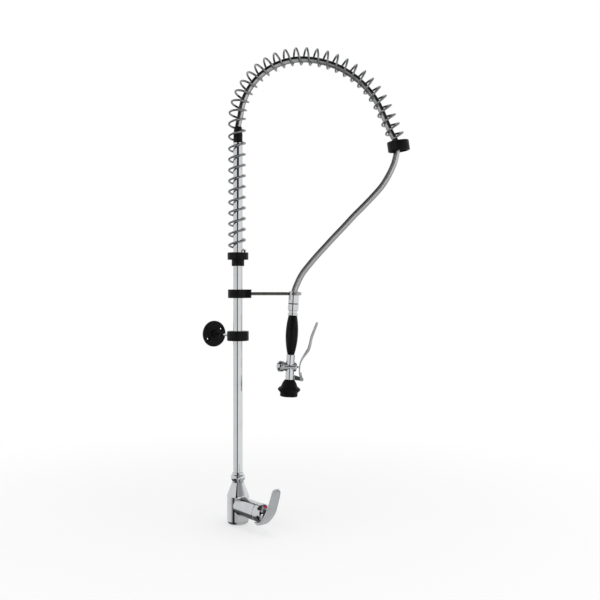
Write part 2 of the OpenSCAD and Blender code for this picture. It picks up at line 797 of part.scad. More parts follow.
module hook_rod_screw() {
    color(steel) translate([hook_boss_x - 6, rod_r + seat_fit, hook_z])
        grub_screw(small_screw_r - seat_fit, boss_w / 2 - rod_r - 0.6);
}

// ---- Wall bracket: it runs back from the riser, away from the lever ----

bracket_r = bracket_d / 2;
bracket_rod_r = bracket_rod_d / 2;
bracket_rod_start = riser_r + 3;
bracket_screw_angle = 180;
flange_front = wall_distance - flange_t;
flange_boss_r = 9;
flange_boss_h = 6;
flange_round = 2;

// Turns +X to point from the riser to the wall
module along_bracket() {
    translate([0, 0, bracket_z]) rotate([0, 0, 180 - housing_angle]) children();
}

module bracket_ring() {
    edge = 2;
    color(black) along_bracket() difference() {
        translate([0, 0, -bracket_h / 2]) turned([[0, 0], [bracket_r - edge, 0], [bracket_r, edge],
            [bracket_r, bracket_h - edge], [bracket_r - edge, bracket_h], [0, bracket_h]]);
        translate([0, 0, -bracket_h]) cylinder(r = riser_r + run_fit, h = 2 * bracket_h, $fn = 96);
        bar_x(bracket_rod_r + seat_fit, bracket_rod_start, bracket_r + cut);
        rotate([0, 0, -bracket_screw_angle]) bar_y(small_screw_r, 0, bracket_r + cut);
    }
}

module bracket_screw() {
    color(steel) along_bracket() rotate([0, 0, -bracket_screw_angle])
        translate([0, riser_r + face_gap, 0]) grub_screw(small_screw_r - seat_fit, bracket_r - riser_r - 2);
}

module bracket_rod() {
    color(chrome) along_bracket() bar_x(bracket_rod_r, bracket_rod_start, flange_front + flange_t / 2);
}

module wall_flange() {
    color(black) along_bracket() difference() {
        translate([wall_distance, 0, 0]) rotate([0, -90, 0]) turned([[0, 0], [flange_d / 2, 0],
            [flange_d / 2, flange_t - flange_round], [flange_d / 2 - flange_round, flange_t],
            [flange_boss_r, flange_t], [flange_boss_r - 1, flange_t + flange_boss_h],
            [0, flange_t + flange_boss_h]]);
        bar_x(bracket_rod_r + run_fit, 0, flange_front + flange_t / 2 + face_gap);
        for (side = [0, 180]) rotate([side + flange_hole_angle, 0, 0])
            translate([0, flange_pcd / 2, 0])
                bar_x(flange_hole_d / 2, flange_front - cut, wall_distance + cut);
    }
}

// ---- Spray gun: its own frame has its origin in the ring's middle and +Z up its axis ----

module gun_frame() {
    translate([hook_x, 0, hook_z]) rotate([0, gun_tilt, 0]) children();
}

nut_top = hose_nut_rise;
hose_nut_bottom = nut_top - hose_nut_l;
washer_t = 1.3;
swivel_top = hose_nut_bottom - washer_t;
swivel_bottom = swivel_top - swivel_l;
core_r = core_d / 2;
core_in_r = core_r - 1.5;
core_top = hose_nut_bottom + 10;
tail_r = hose_nut_r - 3.5;
tail_top = nut_top - 10;
clip_h = 1.5;
clip_z = core_top - 4;
clip_r = core_r + 1.2;
neck_h = 7;
ring_band_h = 4;
grip_ring_r = 12;
grip_top = swivel_bottom - neck_h - ring_band_h;
grip_bottom = grip_top - grip_l;

module hose_nut() {
    color(chrome) gun_frame() difference() {
        translate([0, 0, hose_nut_bottom]) turned([[0, 0], [hose_nut_r, 0], [hose_nut_r, hose_nut_l - 0.8],
            [hose_nut_r - 0.8, hose_nut_l], [0, hose_nut_l]]);
        translate([0, 0, hose_nut_bottom - cut]) cylinder(r = hose_hole_r + 0.15, h = hose_nut_l + 2 * cut);
        translate([0, 0, nut_top - 6]) cylinder(r1 = hose_hole_r + 0.15, r2 = hose_nut_r - 1.6, h = 6 + 0.01);
        translate([0, 0, hose_nut_bottom - cut])
            cylinder(r = tail_r + seat_fit, h = tail_top - hose_nut_bottom + cut);
    }
}

module hose_tail() {
    color(brass) gun_frame() difference() {
        translate([0, 0, hose_nut_bottom]) cylinder(r = tail_r, h = tail_top - hose_nut_bottom);
        translate([0, 0, hose_nut_bottom - cut])
            cylinder(r = core_r + run_fit, h = core_top - hose_nut_bottom + cut + face_gap);
        translate([0, 0, hose_nut_bottom]) cylinder(r = nipple_r, h = hose_nut_l);
        translate([0, 0, clip_z - clip_h / 2 - run_fit])
            cylinder(r = clip_r + run_fit, h = clip_h + 2 * run_fit);
    }
}

module swivel_clip() {
    color(steel) gun_frame() translate([0, 0, clip_z - clip_h / 2]) difference() {
        cylinder(r = clip_r, h = clip_h);
        translate([0, 0, -cut]) cylinder(r = core_r - 0.8 + seat_fit, h = clip_h + 2 * cut);
        translate([0, -1, -cut]) cube([clip_r + cut, 2, clip_h + 2 * cut]);
    }
}

module swivel_washer() {
    color(rubber) gun_frame() translate([0, 0, swivel_top])
        tube(hose_nut_r - 0.6, core_r + seat_fit, washer_t - run_fit);
}

module swivel_sleeve() {
    color(chrome) gun_frame() difference() {
        translate([0, 0, swivel_bottom]) turned([[0, 0], [swivel_d / 2 - 1.5, 0], [swivel_d / 2, 1.5],
            [swivel_d / 2, swivel_l - 0.6], [swivel_d / 2 - 0.6, swivel_l], [0, swivel_l]]);
        translate([0, 0, swivel_bottom - cut]) cylinder(r = core_r + seat_fit, h = swivel_l + 2 * cut);
    }
}

module handle_tube() {
    color(brass) gun_frame() difference() {
        translate([0, 0, grip_bottom - 8]) cylinder(r = core_r, h = core_top - grip_bottom + 8);
        translate([0, 0, grip_bottom - 9]) cylinder(r = core_in_r, h = core_top - grip_bottom + 12);
        translate([0, 0, clip_z - clip_h / 2 - seat_fit])
            tube(core_r + cut, core_r - 0.8, clip_h + 2 * seat_fit);
    }
}

module grip_ring() {
    neck_r = grip_ring_r - 1.8;
    color(chrome) gun_frame() difference() {
        translate([0, 0, grip_top]) turned([[0, 0], [grip_ring_r - 0.5, 0], [grip_ring_r, 0.5],
            [grip_ring_r, ring_band_h - 0.5], [grip_ring_r - 0.5, ring_band_h], [neck_r, ring_band_h],
            [neck_r, ring_band_h + neck_h], [0, ring_band_h + neck_h]]);
        translate([0, 0, grip_top - cut]) cylinder(r = core_r + seat_fit, h = ring_band_h + neck_h + 2 * cut);
    }
}

// Share of the grip's length below its widest place, and its radius at a share of its length from below
grip_wide_at = 0.53;
function grip_r(s) =
    s < grip_wide_at ? grip_d / 2 - (grip_d - grip_bottom_d) / 2 * pow((grip_wide_at - s) / grip_wide_at, 2)
    : grip_d / 2 - (grip_d - grip_top_d) / 2 * pow((s - grip_wide_at) / (1 - grip_wide_at), 2);

module handle_grip() {
    steps = 18;
    color(black) gun_frame() difference() {
        translate([0, 0, grip_bottom]) turned(concat([[0, 0]],
            [for (i = [0 : steps]) [grip_r(i / steps), grip_l * i / steps]], [[0, grip_l]]));
        translate([0, 0, grip_bottom - cut]) cylinder(r = core_r + seat_fit, h = grip_l + 2 * cut);
    }
}

// ---- Valve: the cross tube holds the poppet, and the trigger pushes its stem to -X ----

valve_r = valve_tube_d / 2;
valve_bottom = grip_bottom - valve_tube_l;
cross_z = valve_bottom + cross_rise;
cross_r = cross_d / 2;
cross_left = -19;
cross_right = 14;
valve_bore_r = 7.5;
seat_x = -1;
seat_t = 2;
seat_hole_r = 4;
outlet_bore_r = 5;
stem_r = 2.5;
guide_x = 8;
gland_x = 10;
gland_r = 5;
gland_head_r = 7.5;
gland_head_t = 1.5;
way_r = 3;
way_x = 4.5;
neck_top = grip_bottom - 8;
pivot_z = valve_bottom + 2;
pivot_r = 2;
lug_r = 3.6;
lug_t = 5;

module valve_body() {
    color(chrome) gun_frame() difference() {
        union() {
            translate([0, 0, valve_bottom]) cylinder(r = valve_r, h = valve_tube_l, $fn = 96);
            translate([0, 0, cross_z]) bar_x(cross_r, cross_left + 3, cross_right);
            translate([0, 0, cross_z]) bar_x(cap_d / 2 - 0.8, cross_left, cross_left + 4);
            // The lug that holds the trigger's pin
            translate([0, lug_t / 2, 0]) rotate([90, 0, 0]) linear_extrude(lug_t) polygon([
                [0, pivot_z + 12], [valve_r - 1, pivot_z + 10], [pivot_x + 1.2, pivot_z + lug_r],
                [pivot_x, pivot_z - lug_r], [valve_r - 1, pivot_z - 2 + 0.5], [0, pivot_z - 2 + 0.5]]);
            translate([pivot_x, 0, pivot_z]) bar_y(lug_r, -lug_t / 2, lug_t / 2);
        }
        translate([0, 0, neck_top - seat_fit]) cylinder(r = core_r + seat_fit, h = valve_tube_l);
        translate([-way_x, 0, cross_z]) cylinder(r = way_r, h = neck_top - cross_z + cut);
        translate([0, 0, cross_z]) {
            bar_x(valve_bore_r, cross_left - cut, seat_x);
            bar_x(seat_hole_r, seat_x - cut, seat_x + seat_t + cut);
            bar_x(outlet_bore_r, seat_x + seat_t, guide_x);
            bar_x(stem_r + run_fit, guide_x - cut, gland_x + cut);
            bar_x(gland_r + seat_fit, gland_x, cross_right + cut);
        }
        translate([way_x, 0, valve_bottom + 14]) cylinder(r = way_r, h = cross_z - valve_bottom - 14);
        translate([0, 0, valve_bottom - cut]) cylinder(r = core_r + seat_fit, h = 16 + cut);
        translate([pivot_x, 0, pivot_z]) bar_y(pivot_r + seat_fit, -lug_t, lug_t);
    }
}

cap_plug_l = 5;
cap_flat = 4;
cap_dome_h = 9;

module valve_cap() {
    cap_r = cap_d / 2;
    color(chrome) gun_frame() translate([cross_left, 0, cross_z]) rotate([0, -90, 0]) difference() {
        union() {
            turned(concat([[0, 0], [cap_r, 0], [cap_r, cap_flat]],
                [for (a = [15 : 15 : 90]) [cap_r * cos(a), cap_flat + cap_dome_h * sin(a)]]));
            translate([0, 0, -cap_plug_l]) cylinder(r = valve_bore_r - seat_fit, h = cap_plug_l + cut);
        }
        translate([0, 0, -cap_plug_l / 2 - groove_h / 2]) tube(cap_r, valve_bore_r - 1.6, groove_h);
    }
}

module cap_seal() {
    color(rubber) gun_frame() translate([cross_left + cap_plug_l / 2, 0, cross_z]) rotate([0, 90, 0])
        rotate_extrude($fn = 64) translate([valve_bore_r - 0.1 - 0.7, 0]) circle(r = 0.7, $fn = 24);
}

poppet_r = 6;
poppet_t = 3;
poppet_washer_t = 1.6;
poppet_front = seat_x - poppet_washer_t - seat_fit;
spring_wire = 1;
spring_r = 4.2;
spring_x0 = cross_left + cap_plug_l;
spring_x1 = poppet_front - poppet_t;
spring_turns = 5;
spring_rings = 8;

// A closed coil of wire between the cap and the poppet
valve_spring_path = let (x0 = spring_x0 + spring_wire / 2 + 0.05, x1 = spring_x1 - spring_wire / 2 - 0.05)
    [for (i = [0 : spring_turns * spring_rings]) let (a = 360 * i / spring_rings)
        [x0 + (x1 - x0) * i / (spring_turns * spring_rings), spring_r * cos(a), spring_r * sin(a)]];

module valve_spring() {
    color(steel) gun_frame() translate([0, 0, cross_z])
        swept_tube(valve_spring_path, spring_wire / 2, wire_sides, first = [1, 0, 0]);
}

module valve_poppet() {
    color(brass) gun_frame() translate([0, 0, cross_z]) difference() {
        bar_x(poppet_r, spring_x1, poppet_front);
        bar_x(stem_r - 0.5 + seat_fit, spring_x1 - cut, poppet_front + cut);
    }
}

module poppet_washer() {
    color(rubber) gun_frame() translate([0, 0, cross_z]) difference() {
        bar_x(poppet_r - 0.4, poppet_front, poppet_front + poppet_washer_t);
        bar_x(stem_r + seat_fit, poppet_front - cut, seat_x + cut);
    }
}

stem_end = 19.6;

module valve_stem() {
    color(steel) gun_frame() translate([0, 0, cross_z]) {
        bar_x(stem_r - 0.5, spring_x1 + 0.5, poppet_front + 1);
        bar_x(stem_r, poppet_front + seat_fit, stem_end - 1);
        bar_x(stem_r - 0.7, stem_end - 1.2, stem_end);
    }
}

module stem_seal() {
    color(rubber) gun_frame() translate([gland_x + 1, 0, cross_z]) rotate([0, 90, 0])
        rotate_extrude($fn = 64) translate([stem_r + run_fit + 0.9, 0]) circle(r = 0.85, $fn = 24);
}

module gland_nut() {
    color(chrome) gun_frame() translate([0, 0, cross_z]) difference() {
        union() {
            bar_x(gland_r, gland_x + 2, cross_right + cut);
            translate([cross_right, 0, 0]) rotate([0, 90, 0])
                cylinder(r = gland_head_r, h = gland_head_t, $fn = 6);
        }
        bar_x(stem_r + run_fit, gland_x, cross_right + gland_head_t + cut);
    }
}

// Middle line of the trigger's strip, as distance from the gun's axis and height above the pin
trigger_line = [[-4.9, 9], [-5.7, 13], [-6.4, 20], [-6.2, 29], [-4.4, 39], [2, 51], [12.5, 66], [16.5, 79],
    [19.5, 97], [25, 115], [30.5, 132]];
ear_t = 2.2;
ear_gap = 0.4;
ear_in = lug_t / 2 + ear_gap;

module trigger() {
    color(chrome) gun_frame() translate([pivot_x, 0, pivot_z]) difference() {
        union() {
            translate([0, trigger_w / 2, 0]) rotate([90, 0, 0]) linear_extrude(trigger_w)
                polygon(strip(trigger_line, trigger_t));
            for (side = [-1, 1]) translate([0, side * (ear_in + ear_t / 2) + ear_t / 2, 0])
                rotate([90, 0, 0]) linear_extrude(ear_t) union() {
                    circle(r = lug_r + 0.6, $fn = 48);
                    polygon([[-lug_r - 0.6, 0], [lug_r, 0], [-1.5, 16], [-7.2, 16]]);
                }
        }
        bar_y(pivot_r + run_fit, -trigger_w, trigger_w);
    }
}

module trigger_pin() {
    head_r = 3.2;
    head_t = 1.2;
    out = ear_in + ear_t + 0.2;
    color(steel) gun_frame() translate([pivot_x, 0, pivot_z]) {
        bar_y(pivot_r, -out, out);
        bar_y(head_r, -out - head_t, -out);
        bar_y(head_r, out, out + head_t);
    }
}

// ---- Spray head ----

head_top = valve_bottom - 0.6;
spray_body_r = head_d / 2 - 2.6;
head_bottom = head_top - head_l;
face_t = 2;
face_z = head_bottom + 3;
face_r = spray_body_r - 1.2;
face_screw_r = 2;
spigot_len = 13;

module spray_body() {
    color(brass) gun_frame() difference() {
        union() {
            translate([0, 0, head_bottom + 1.5]) turned([[0, 0], [spray_body_r, 0],
                [spray_body_r, head_l - 20], [valve_r, head_l - 9], [0, head_l - 9]]);
            translate([0, 0, head_top - 12]) cylinder(r = core_r, h = 12 + spigot_len);
        }
        translate([0, 0, head_bottom]) cylinder(r = core_in_r - 1, h = 2 * head_l);
        translate([0, 0, head_bottom]) cylinder(r = face_r + seat_fit, h = 3 + face_t);
        translate([0, 0, face_z]) cylinder(r = face_r - 1.5, h = 8);
    }
}

// Rings of spray holes as [radius, count]
spray_rings = [[6, 8], [10.5, 14]];
spray_hole_r = 0.9;

module spray_face() {
    color(steel) gun_frame() translate([0, 0, face_z]) difference() {
        cylinder(r = face_r, h = face_t);
        translate([0, 0, -cut]) cylinder(r = face_screw_r + seat_fit, h = face_t + 2 * cut);
        for (row = spray_rings, i = [0 : row[1] - 1])
            rotate([0, 0, 360 * i / row[1]]) translate([row[0], 0, -cut])
                cylinder(r = spray_hole_r, h = face_t + 2 * cut, $fn = 16);
    }
}

module face_screw() {
    head_r = 3.6;
    head_t = 1.6;
    color(steel) gun_frame() translate([0, 0, face_z]) difference() {
        union() {
            translate([0, 0, -head_t / 2]) cylinder(r = face_screw_r, h = face_t + 3 + head_t / 2);
            translate([0, 0, -head_t]) cylinder(r = head_r, h = head_t);
        }
        translate([-head_r, -0.5, -2]) cube([2 * head_r, 1, 1]);
    }
}

bumper_z = head_l * 0.43;

module spray_bumper() {
    top_r = valve_r + 1.75;
    color(black) gun_frame() difference() {
        translate([0, 0, head_bottom]) turned([[0, 0], [head_d / 2 - 1.5, 0], [head_d / 2 + 0.2, 2],
            [head_d / 2 + 0.4, bumper_z - 6.5], [bumper_d / 2 - 3.5, bumper_z - 5.4],
            [bumper_d / 2, bumper_z - 1.2], [bumper_d / 2, bumper_z + 1.2],
            [bumper_d / 2 - 3.5, bumper_z + 5], [head_d / 2 - 0.2, bumper_z + 6],
            [head_d / 2 - 1.6, head_l - 13], [head_d / 2 - 4.2, head_l - 6.5], [top_r, head_l], [0, head_l]]);
        translate([0, 0, head_bottom - cut]) turned([[0, 0], [spray_body_r + seat_fit, 0],
            [spray_body_r + seat_fit, head_l - 18.5 + cut + seat_fit],
            [valve_r + seat_fit, head_l - 7.5 + cut + seat_fit], [0, head_l - 7.5 + cut + seat_fit]]);
        translate([0, 0, head_top - 12]) cylinder(r = core_r + seat_fit, h = 20);
    }
}

mixer_body();
cartridge_gasket();
cartridge();
cartridge_nut();
cartridge_cover();
cartridge_carrier();
cartridge_stem();
stem_pin();
mixer_lever();
lever_screw();
hot_mark();
cold_mark();
union_nut();
riser_foot();
riser_seals();
riser_tube();
spring_collar();
collar_screw();
arch_spring();
hose_nipple();
hose_sleeve();
arch_hose();
end_collar();
drop_hose();
hook_clamp();
hook_rod();
hook_clamp_screw();
hook_rod_screw();
bracket_ring();
bracket_screw();
bracket_rod();
wall_flange();
hose_nut();
hose_tail();
swivel_clip();
swivel_washer();
swivel_sleeve();
handle_tube();
grip_ring();
handle_grip();
valve_body();
valve_cap();
cap_seal();
valve_spring();
valve_poppet();
poppet_washer();
valve_stem();
stem_seal();
gland_nut();
trigger();
trigger_pin();
spray_body();
spray_face();
face_screw();
spray_bumper();
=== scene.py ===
import json
import math

import bpy
from mathutils import Matrix, Vector


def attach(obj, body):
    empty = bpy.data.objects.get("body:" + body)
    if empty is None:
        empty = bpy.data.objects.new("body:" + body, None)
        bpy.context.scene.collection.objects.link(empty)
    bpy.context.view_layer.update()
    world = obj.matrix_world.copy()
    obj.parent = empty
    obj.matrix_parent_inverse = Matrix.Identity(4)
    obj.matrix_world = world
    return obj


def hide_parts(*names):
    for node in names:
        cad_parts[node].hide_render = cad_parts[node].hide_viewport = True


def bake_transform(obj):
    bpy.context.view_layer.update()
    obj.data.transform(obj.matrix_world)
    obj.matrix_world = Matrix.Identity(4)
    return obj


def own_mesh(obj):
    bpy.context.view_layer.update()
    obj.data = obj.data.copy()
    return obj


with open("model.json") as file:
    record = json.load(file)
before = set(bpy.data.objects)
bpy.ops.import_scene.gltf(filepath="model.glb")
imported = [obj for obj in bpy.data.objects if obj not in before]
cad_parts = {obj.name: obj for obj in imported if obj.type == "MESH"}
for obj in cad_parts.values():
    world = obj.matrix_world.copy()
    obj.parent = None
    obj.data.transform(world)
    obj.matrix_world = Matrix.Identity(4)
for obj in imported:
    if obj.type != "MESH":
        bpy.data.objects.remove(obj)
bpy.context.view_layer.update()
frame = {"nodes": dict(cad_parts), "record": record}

# The room: a level camera in front of the arch, and a pale paper cove and three soft boxes that reflections
# don't see. They see the world, painted by direction: bright walls and ground, a dark ceiling, a dark strip
# beside the camera, which upright chrome shows as a thin line, and a dark corner low at the left.
camera_place = (0.1426, -2.0, 0.5589)
bpy.ops.object.select_all(action="DESELECT")
bpy.ops.object.camera_add(location=camera_place, rotation=(math.radians(90), 0, 0))
camera = bpy.context.object
camera.data.sensor_width = 36
camera.data.lens = 52.2
camera.data.shift_y = -0.0333
camera.data.clip_end = 50
bpy.context.scene.camera = camera
bpy.context.scene.view_settings.view_transform = "Standard"


class Nodes:
    """A node tree with short ways to add nodes, links and arithmetic."""

    def __init__(self, tree):
        self.tree = tree

    def node(self, kind, **values):
        made = self.tree.nodes.new(kind)
        for key, value in values.items():
            setattr(made, key, value)
        return made

    def link(self, a, b):
        self.tree.links.new(a, b)

    def maths(self, operation, a, b=0):
        made = self.node("ShaderNodeMath", operation=operation)
        for value, socket in zip((a, b), made.inputs):
            if isinstance(value, (int, float)):
                socket.default_value = value
            else:
                self.link(value, socket)
        return made.outputs[0]

    def spread(self, value, low, high, low_in=0.3, high_in=0.7):
        """Runs softly from low to high while the value runs from low_in to high_in."""
        made = self.node("ShaderNodeMapRange", interpolation_type="SMOOTHSTEP")
        made.inputs["From Min"].default_value = low_in
        made.inputs["From Max"].default_value = high_in
        made.inputs["To Min"].default_value = low
        made.inputs["To Max"].default_value = high
        self.link(value, made.inputs["Value"])
        return made.outputs["Result"]

    def mix(self, share, a, b):
        made = self.node("ShaderNodeMix", data_type="FLOAT")
        for value, socket in zip((share, a, b), made.inputs[:1] + made.inputs[2:4]):
            if isinstance(value, (int, float)):
                socket.default_value = value
            else:
                self.link(value, socket)
        return made.outputs[0]

    def split(self, vector):
        made = self.node("ShaderNodeSeparateXYZ")
        self.link(vector, made.inputs[0])
        return made.outputs


class Finish(Nodes):
    """A material with its main values set, to which a section adds its own texture."""

    def __init__(self, name, colour, rough, metallic=0.0):
        self.made = bpy.data.materials.new(name)
        self.made.use_nodes = True
        super().__init__(self.made.node_tree)
        self.shader = self.tree.nodes["Principled BSDF"]
        self.shader.inputs["Base Color"].default_value = (*colour, 1)
        self.shader.inputs["Roughness"].default_value = rough
        self.shader.inputs["Metallic"].default_value = metallic
        self.place = self.node("ShaderNodeTexCoord").outputs["Object"]

    def noise(self, scale, detail=3.0, rough=0.55, source=None):
        made = self.node("ShaderNodeTexNoise")
        made.inputs["Scale"].default_value = scale
        made.inputs["Detail"].default_value = detail
        made.inputs["Roughness"].default_value = rough
        self.link(source or self.place, made.inputs["Vector"])
        return made.outputs["Fac"]

    def tint(self, value, dark, light):
        made = self.node("ShaderNodeMix", data_type="RGBA")
        self.link(value, made.inputs["Factor"])
        made.inputs["A"].default_value = (*dark, 1)
        made.inputs["B"].default_value = (*light, 1)
        return made.outputs["Result"]

    def colour(self, value):
        self.link(value, self.shader.inputs["Base Color"])

    def rough(self, value):
        self.link(value, self.shader.inputs["Roughness"])

    def bump(self, height, distance, strength=1.0):
        made = self.node("ShaderNodeBump")
        made.inputs["Strength"].default_value = strength
        made.inputs["Distance"].default_value = distance
        self.link(height, made.inputs["Height"])
        if self.shader.inputs["Normal"].is_linked:
            self.link(self.shader.inputs["Normal"].links[0].from_socket, made.inputs["Normal"])
        self.link(made.outputs["Normal"], self.shader.inputs["Normal"])


paper = Finish("studio_paper", (0.9, 0.9, 0.9), 0.8)
paper.shader.inputs["Emission Color"].default_value = (1, 1, 1, 1)
reach = paper.node("ShaderNodeVectorMath", operation="LENGTH")
paper.link(paper.place, reach.inputs[0])
# Near the faucet the paper takes a faint shadow, and further out it glows evenly white.
distance, glow_from, glow_to = reach.outputs["Value"], 0.2, 1.3
paper.link(paper.spread(distance, 0.5, 1.0, glow_from, glow_to), paper.shader.inputs["Emission Strength"])
paper.colour(paper.tint(paper.spread(distance, 0, 1, glow_from, glow_to), (0.5, 0.5, 0.5), (0.0, 0.0, 0.0)))
paper.shader.inputs["Specular IOR Level"].default_value = 0
cove_x, cove_radius, cove_bend, cove_wall = 0.14, 2.9, 0.6, 3.2
bend_steps = 8
bend_angle = math.radians(90 / bend_steps)
bpy.ops.mesh.primitive_circle_add(vertices=64, radius=cove_radius, fill_type="NGON",
                                  location=(cove_x, 0, -0.0005))
cove = bpy.context.object
cove.name = "studio_cove"
bpy.ops.object.transform_apply(location=True)
bpy.ops.object.mode_set(mode="EDIT")
bpy.ops.mesh.select_mode(type="EDGE")
bpy.ops.mesh.select_all(action="SELECT")
bpy.ops.mesh.region_to_loop()
for step in range(bend_steps):
    before, after = step * bend_angle, (step + 1) * bend_angle
    bpy.ops.mesh.extrude_edges_move(TRANSFORM_OT_translate={
        "value": (0, 0, cove_bend * (math.cos(before) - math.cos(after)))})
    grow = (cove_radius + cove_bend * math.sin(after)) / (cove_radius + cove_bend * math.sin(before))
    bpy.ops.transform.resize(value=(grow, grow, 1), center_override=(cove_x, 0, 0))
bpy.ops.mesh.extrude_edges_move(TRANSFORM_OT_translate={"value": (0, 0, cove_wall)})
bpy.ops.object.mode_set(mode="OBJECT")
bpy.ops.object.shade_smooth()
cove.data.materials.append(paper.made)
cove.visible_glossy = False
cove.visible_shadow = False


def soft_box(name, place, aim, width, height, watts):
    """A rectangular light at a place, turned to its aim, that reflections don't see."""
    bpy.ops.object.light_add(type="AREA", location=place)
    box = bpy.context.object
    box.name = name
    box.data.shape = "RECTANGLE"
    box.data.size = width
    box.data.size_y = height
    box.data.energy = watts
    box.rotation_euler = (Vector(aim) - Vector(place)).to_track_quat("-Z", "Y").to_euler()
    box.visible_glossy = False


soft_box("left_box", (-1.6, -1.3, 1.0), (0.1, 0, 0.6), 1.2, 1.5, 4)
soft_box("right_box", (1.8, -1.3, 0.7), (0.1, 0, 0.6), 1.2, 1.5, 5)
soft_box("top_box", (0.2, -0.3, 2.4), (0.14, 0.2, 0.3), 1.4, 0.9, 10)
surroundings = bpy.data.worlds.new("surroundings")
bpy.context.scene.world = surroundings
surroundings.use_nodes = True
room = Nodes(surroundings.node_tree)
# Height is a direction's rise, and turn its angle from the camera's side in radians, positive to the right.
way = room.split(room.node("ShaderNodeTexCoord").outputs["Generated"])
height, right = way["Z"], room.spread(way["X"], 0, 1, -0.05, 0.15)
turn = room.maths("ARCTAN2", way["X"], room.maths("MULTIPLY", way["Y"], -1))
# The ceiling starts lower at the right than at the left, and a little higher at the back.
raised = room.maths("SUBTRACT", height, room.spread(way["Y"], 0.0, 0.2, 0.0, 0.5))
ceiling_left = room.spread(raised, 1.0, 0.05, 0.58, 0.72)
ceiling_right = room.spread(raised, 1.0, 0.35, 0.25, 0.45)
floor_from, floor_to = -0.5, -0.3
walls = room.mix(right, ceiling_left, ceiling_right)
walls = room.maths("MULTIPLY", walls, room.spread(height, 0.0, 1.0, floor_from, floor_to))
walls = room.maths("MULTIPLY", walls, room.mix(right, 0.92, 1.06))
ground = room.maths("MULTIPLY", room.spread(height, 0.95, 0.0, floor_from, floor_to),
                    room.spread(way["X"], 0.12, 1.0, -0.4, 0.1))
# The dark strip stands a little left of the camera. Above it, the strip widens to the right in two steps,
# narrows again and fades out, and low down it gives way to the dark corner at the left.
strip_turn, corner_turn = -0.19, -0.78
widen = room.maths("ADD", room.spread(height, 0.0, 0.25, 0.02, 0.13),
                   room.spread(height, 0.0, 0.2, 0.15, 0.2))
widen = room.maths("SUBTRACT", widen, room.spread(height, 0.0, 0.45, 0.28, 0.4))
aside = room.maths("SUBTRACT", room.maths("ADD", turn, -strip_turn), widen)
dark_strip = room.spread(room.maths("SUBTRACT", room.maths("ABSOLUTE", aside), widen), 0.0, 1.0, 0.13, 0.21)
dark_strip = room.maths("MAXIMUM", dark_strip, room.spread(height, 0.0, 1.0, 0.55, 0.7))
aside = room.maths("ADD", turn, -corner_turn)
dark_corner = room.spread(room.maths("ABSOLUTE", aside), 0.05, 1.0, 0.19, 0.26)
dark_corner = room.maths("MULTIPLY", dark_corner, room.spread(turn, 1.0, 0.66, -1.5, -1.2))
low_down = room.spread(height, 1.0, 0.0, -0.238, -0.222)
lit = room.maths("MULTIPLY", room.maths("MAXIMUM", walls, ground),
                 room.mix(low_down, dark_strip, dark_corner))
room.link(lit, surroundings.node_tree.nodes["Background"].inputs["Strength"])
surroundings.node_tree.nodes["Background"].inputs["Color"].default_value = (0.97, 0.985, 1, 1)

# The hose: one 14 mm spray hose runs up inside the arch and hangs free from the end collar to the gun, where
# it's screwed on. Its outer layer is a satin grey sheath over a wound steel strip.
mm = 0.001


def smooth_line(points, steps):
    """A soft curve through points, with some steps between each two."""
    line = []
    for i in range(len(points) - 1):
        before = points[max(i - 1, 0)]
        a, b = points[i], points[i + 1]
        after = points[min(i + 2, len(points) - 1)]
        for k in range(steps):
            t = k / steps
            line.append(tuple(
                0.5 * (2 * a[c] + (b[c] - before[c]) * t
                       + (2 * before[c] - 5 * a[c] + 4 * b[c] - after[c]) * t * t
                       + (3 * a[c] - before[c] - 3 * b[c] + after[c]) * t ** 3)
                for c in range(len(a))))
    return line + [tuple(points[-1])]


def pick(*pieces):
    """Selects these pieces alone and makes the first one active."""
    bpy.ops.object.select_all(action="DESELECT")
    for piece in pieces:
        piece.select_set(True)
    bpy.context.view_layer.objects.active = pieces[0]


def tube_along(name, line, radius, sides, outward=None):
    """A round tube along a line in metres, whose UV map holds the turn from outward and the length in cm."""
    rings = []
    tangent_before = None
    normal = None
    for i, place in enumerate(line):
        ahead = Vector(line[min(i + 1, len(line) - 1)]) - Vector(line[max(i - 1, 0)])
        tangent = ahead.normalized()
        if normal is None:
            normal = Vector(outward) if outward else tangent.orthogonal().normalized()
        else:
            normal = tangent_before.rotation_difference(tangent) @ normal
        normal = (normal - normal.dot(tangent) * tangent).normalized()
        across = tangent.cross(normal)
        rings.append([
            Vector(place) + radius * (math.cos(2 * math.pi * k / sides) * normal
                                      + math.sin(2 * math.pi * k / sides) * across)
            for k in range(sides)])
        tangent_before = tangent
    points = [p for ring in rings for p in ring]
    faces = [
        (i * sides + k, i * sides + (k + 1) % sides, (i + 1) * sides + (k + 1) % sides, (i + 1) * sides + k)
        for i in range(len(rings) - 1) for k in range(sides)]
    faces.append(tuple(range(sides))[::-1])
    faces.append(tuple(range((len(rings) - 1) * sides, len(rings) * sides)))
    mesh = bpy.data.meshes.new(name)
    mesh.from_pydata(points, [], faces)
    along = [0.0]
    for a, b in zip(line, line[1:]):
        along.append(along[-1] + (Vector(a) - Vector(b)).length)
    layer = mesh.uv_layers.new(name="run")
    for face in mesh.polygons:
        ks = [v % sides for v in face.vertices]
        wrap = len(ks) == 4 and max(ks) - min(ks) > 1
        for loop, v in zip(face.loop_indices, face.vertices):
            k = v % sides
            round_turn = (k + sides if wrap and k == 0 else k) / sides
            layer.data[loop].uv = (round_turn, along[v // sides] * 100)
    tube = bpy.data.objects.new(name, mesh)
    bpy.context.scene.collection.objects.link(tube)
    pick(tube)
    bpy.ops.object.shade_smooth_by_angle(angle=math.radians(50))
    return tube


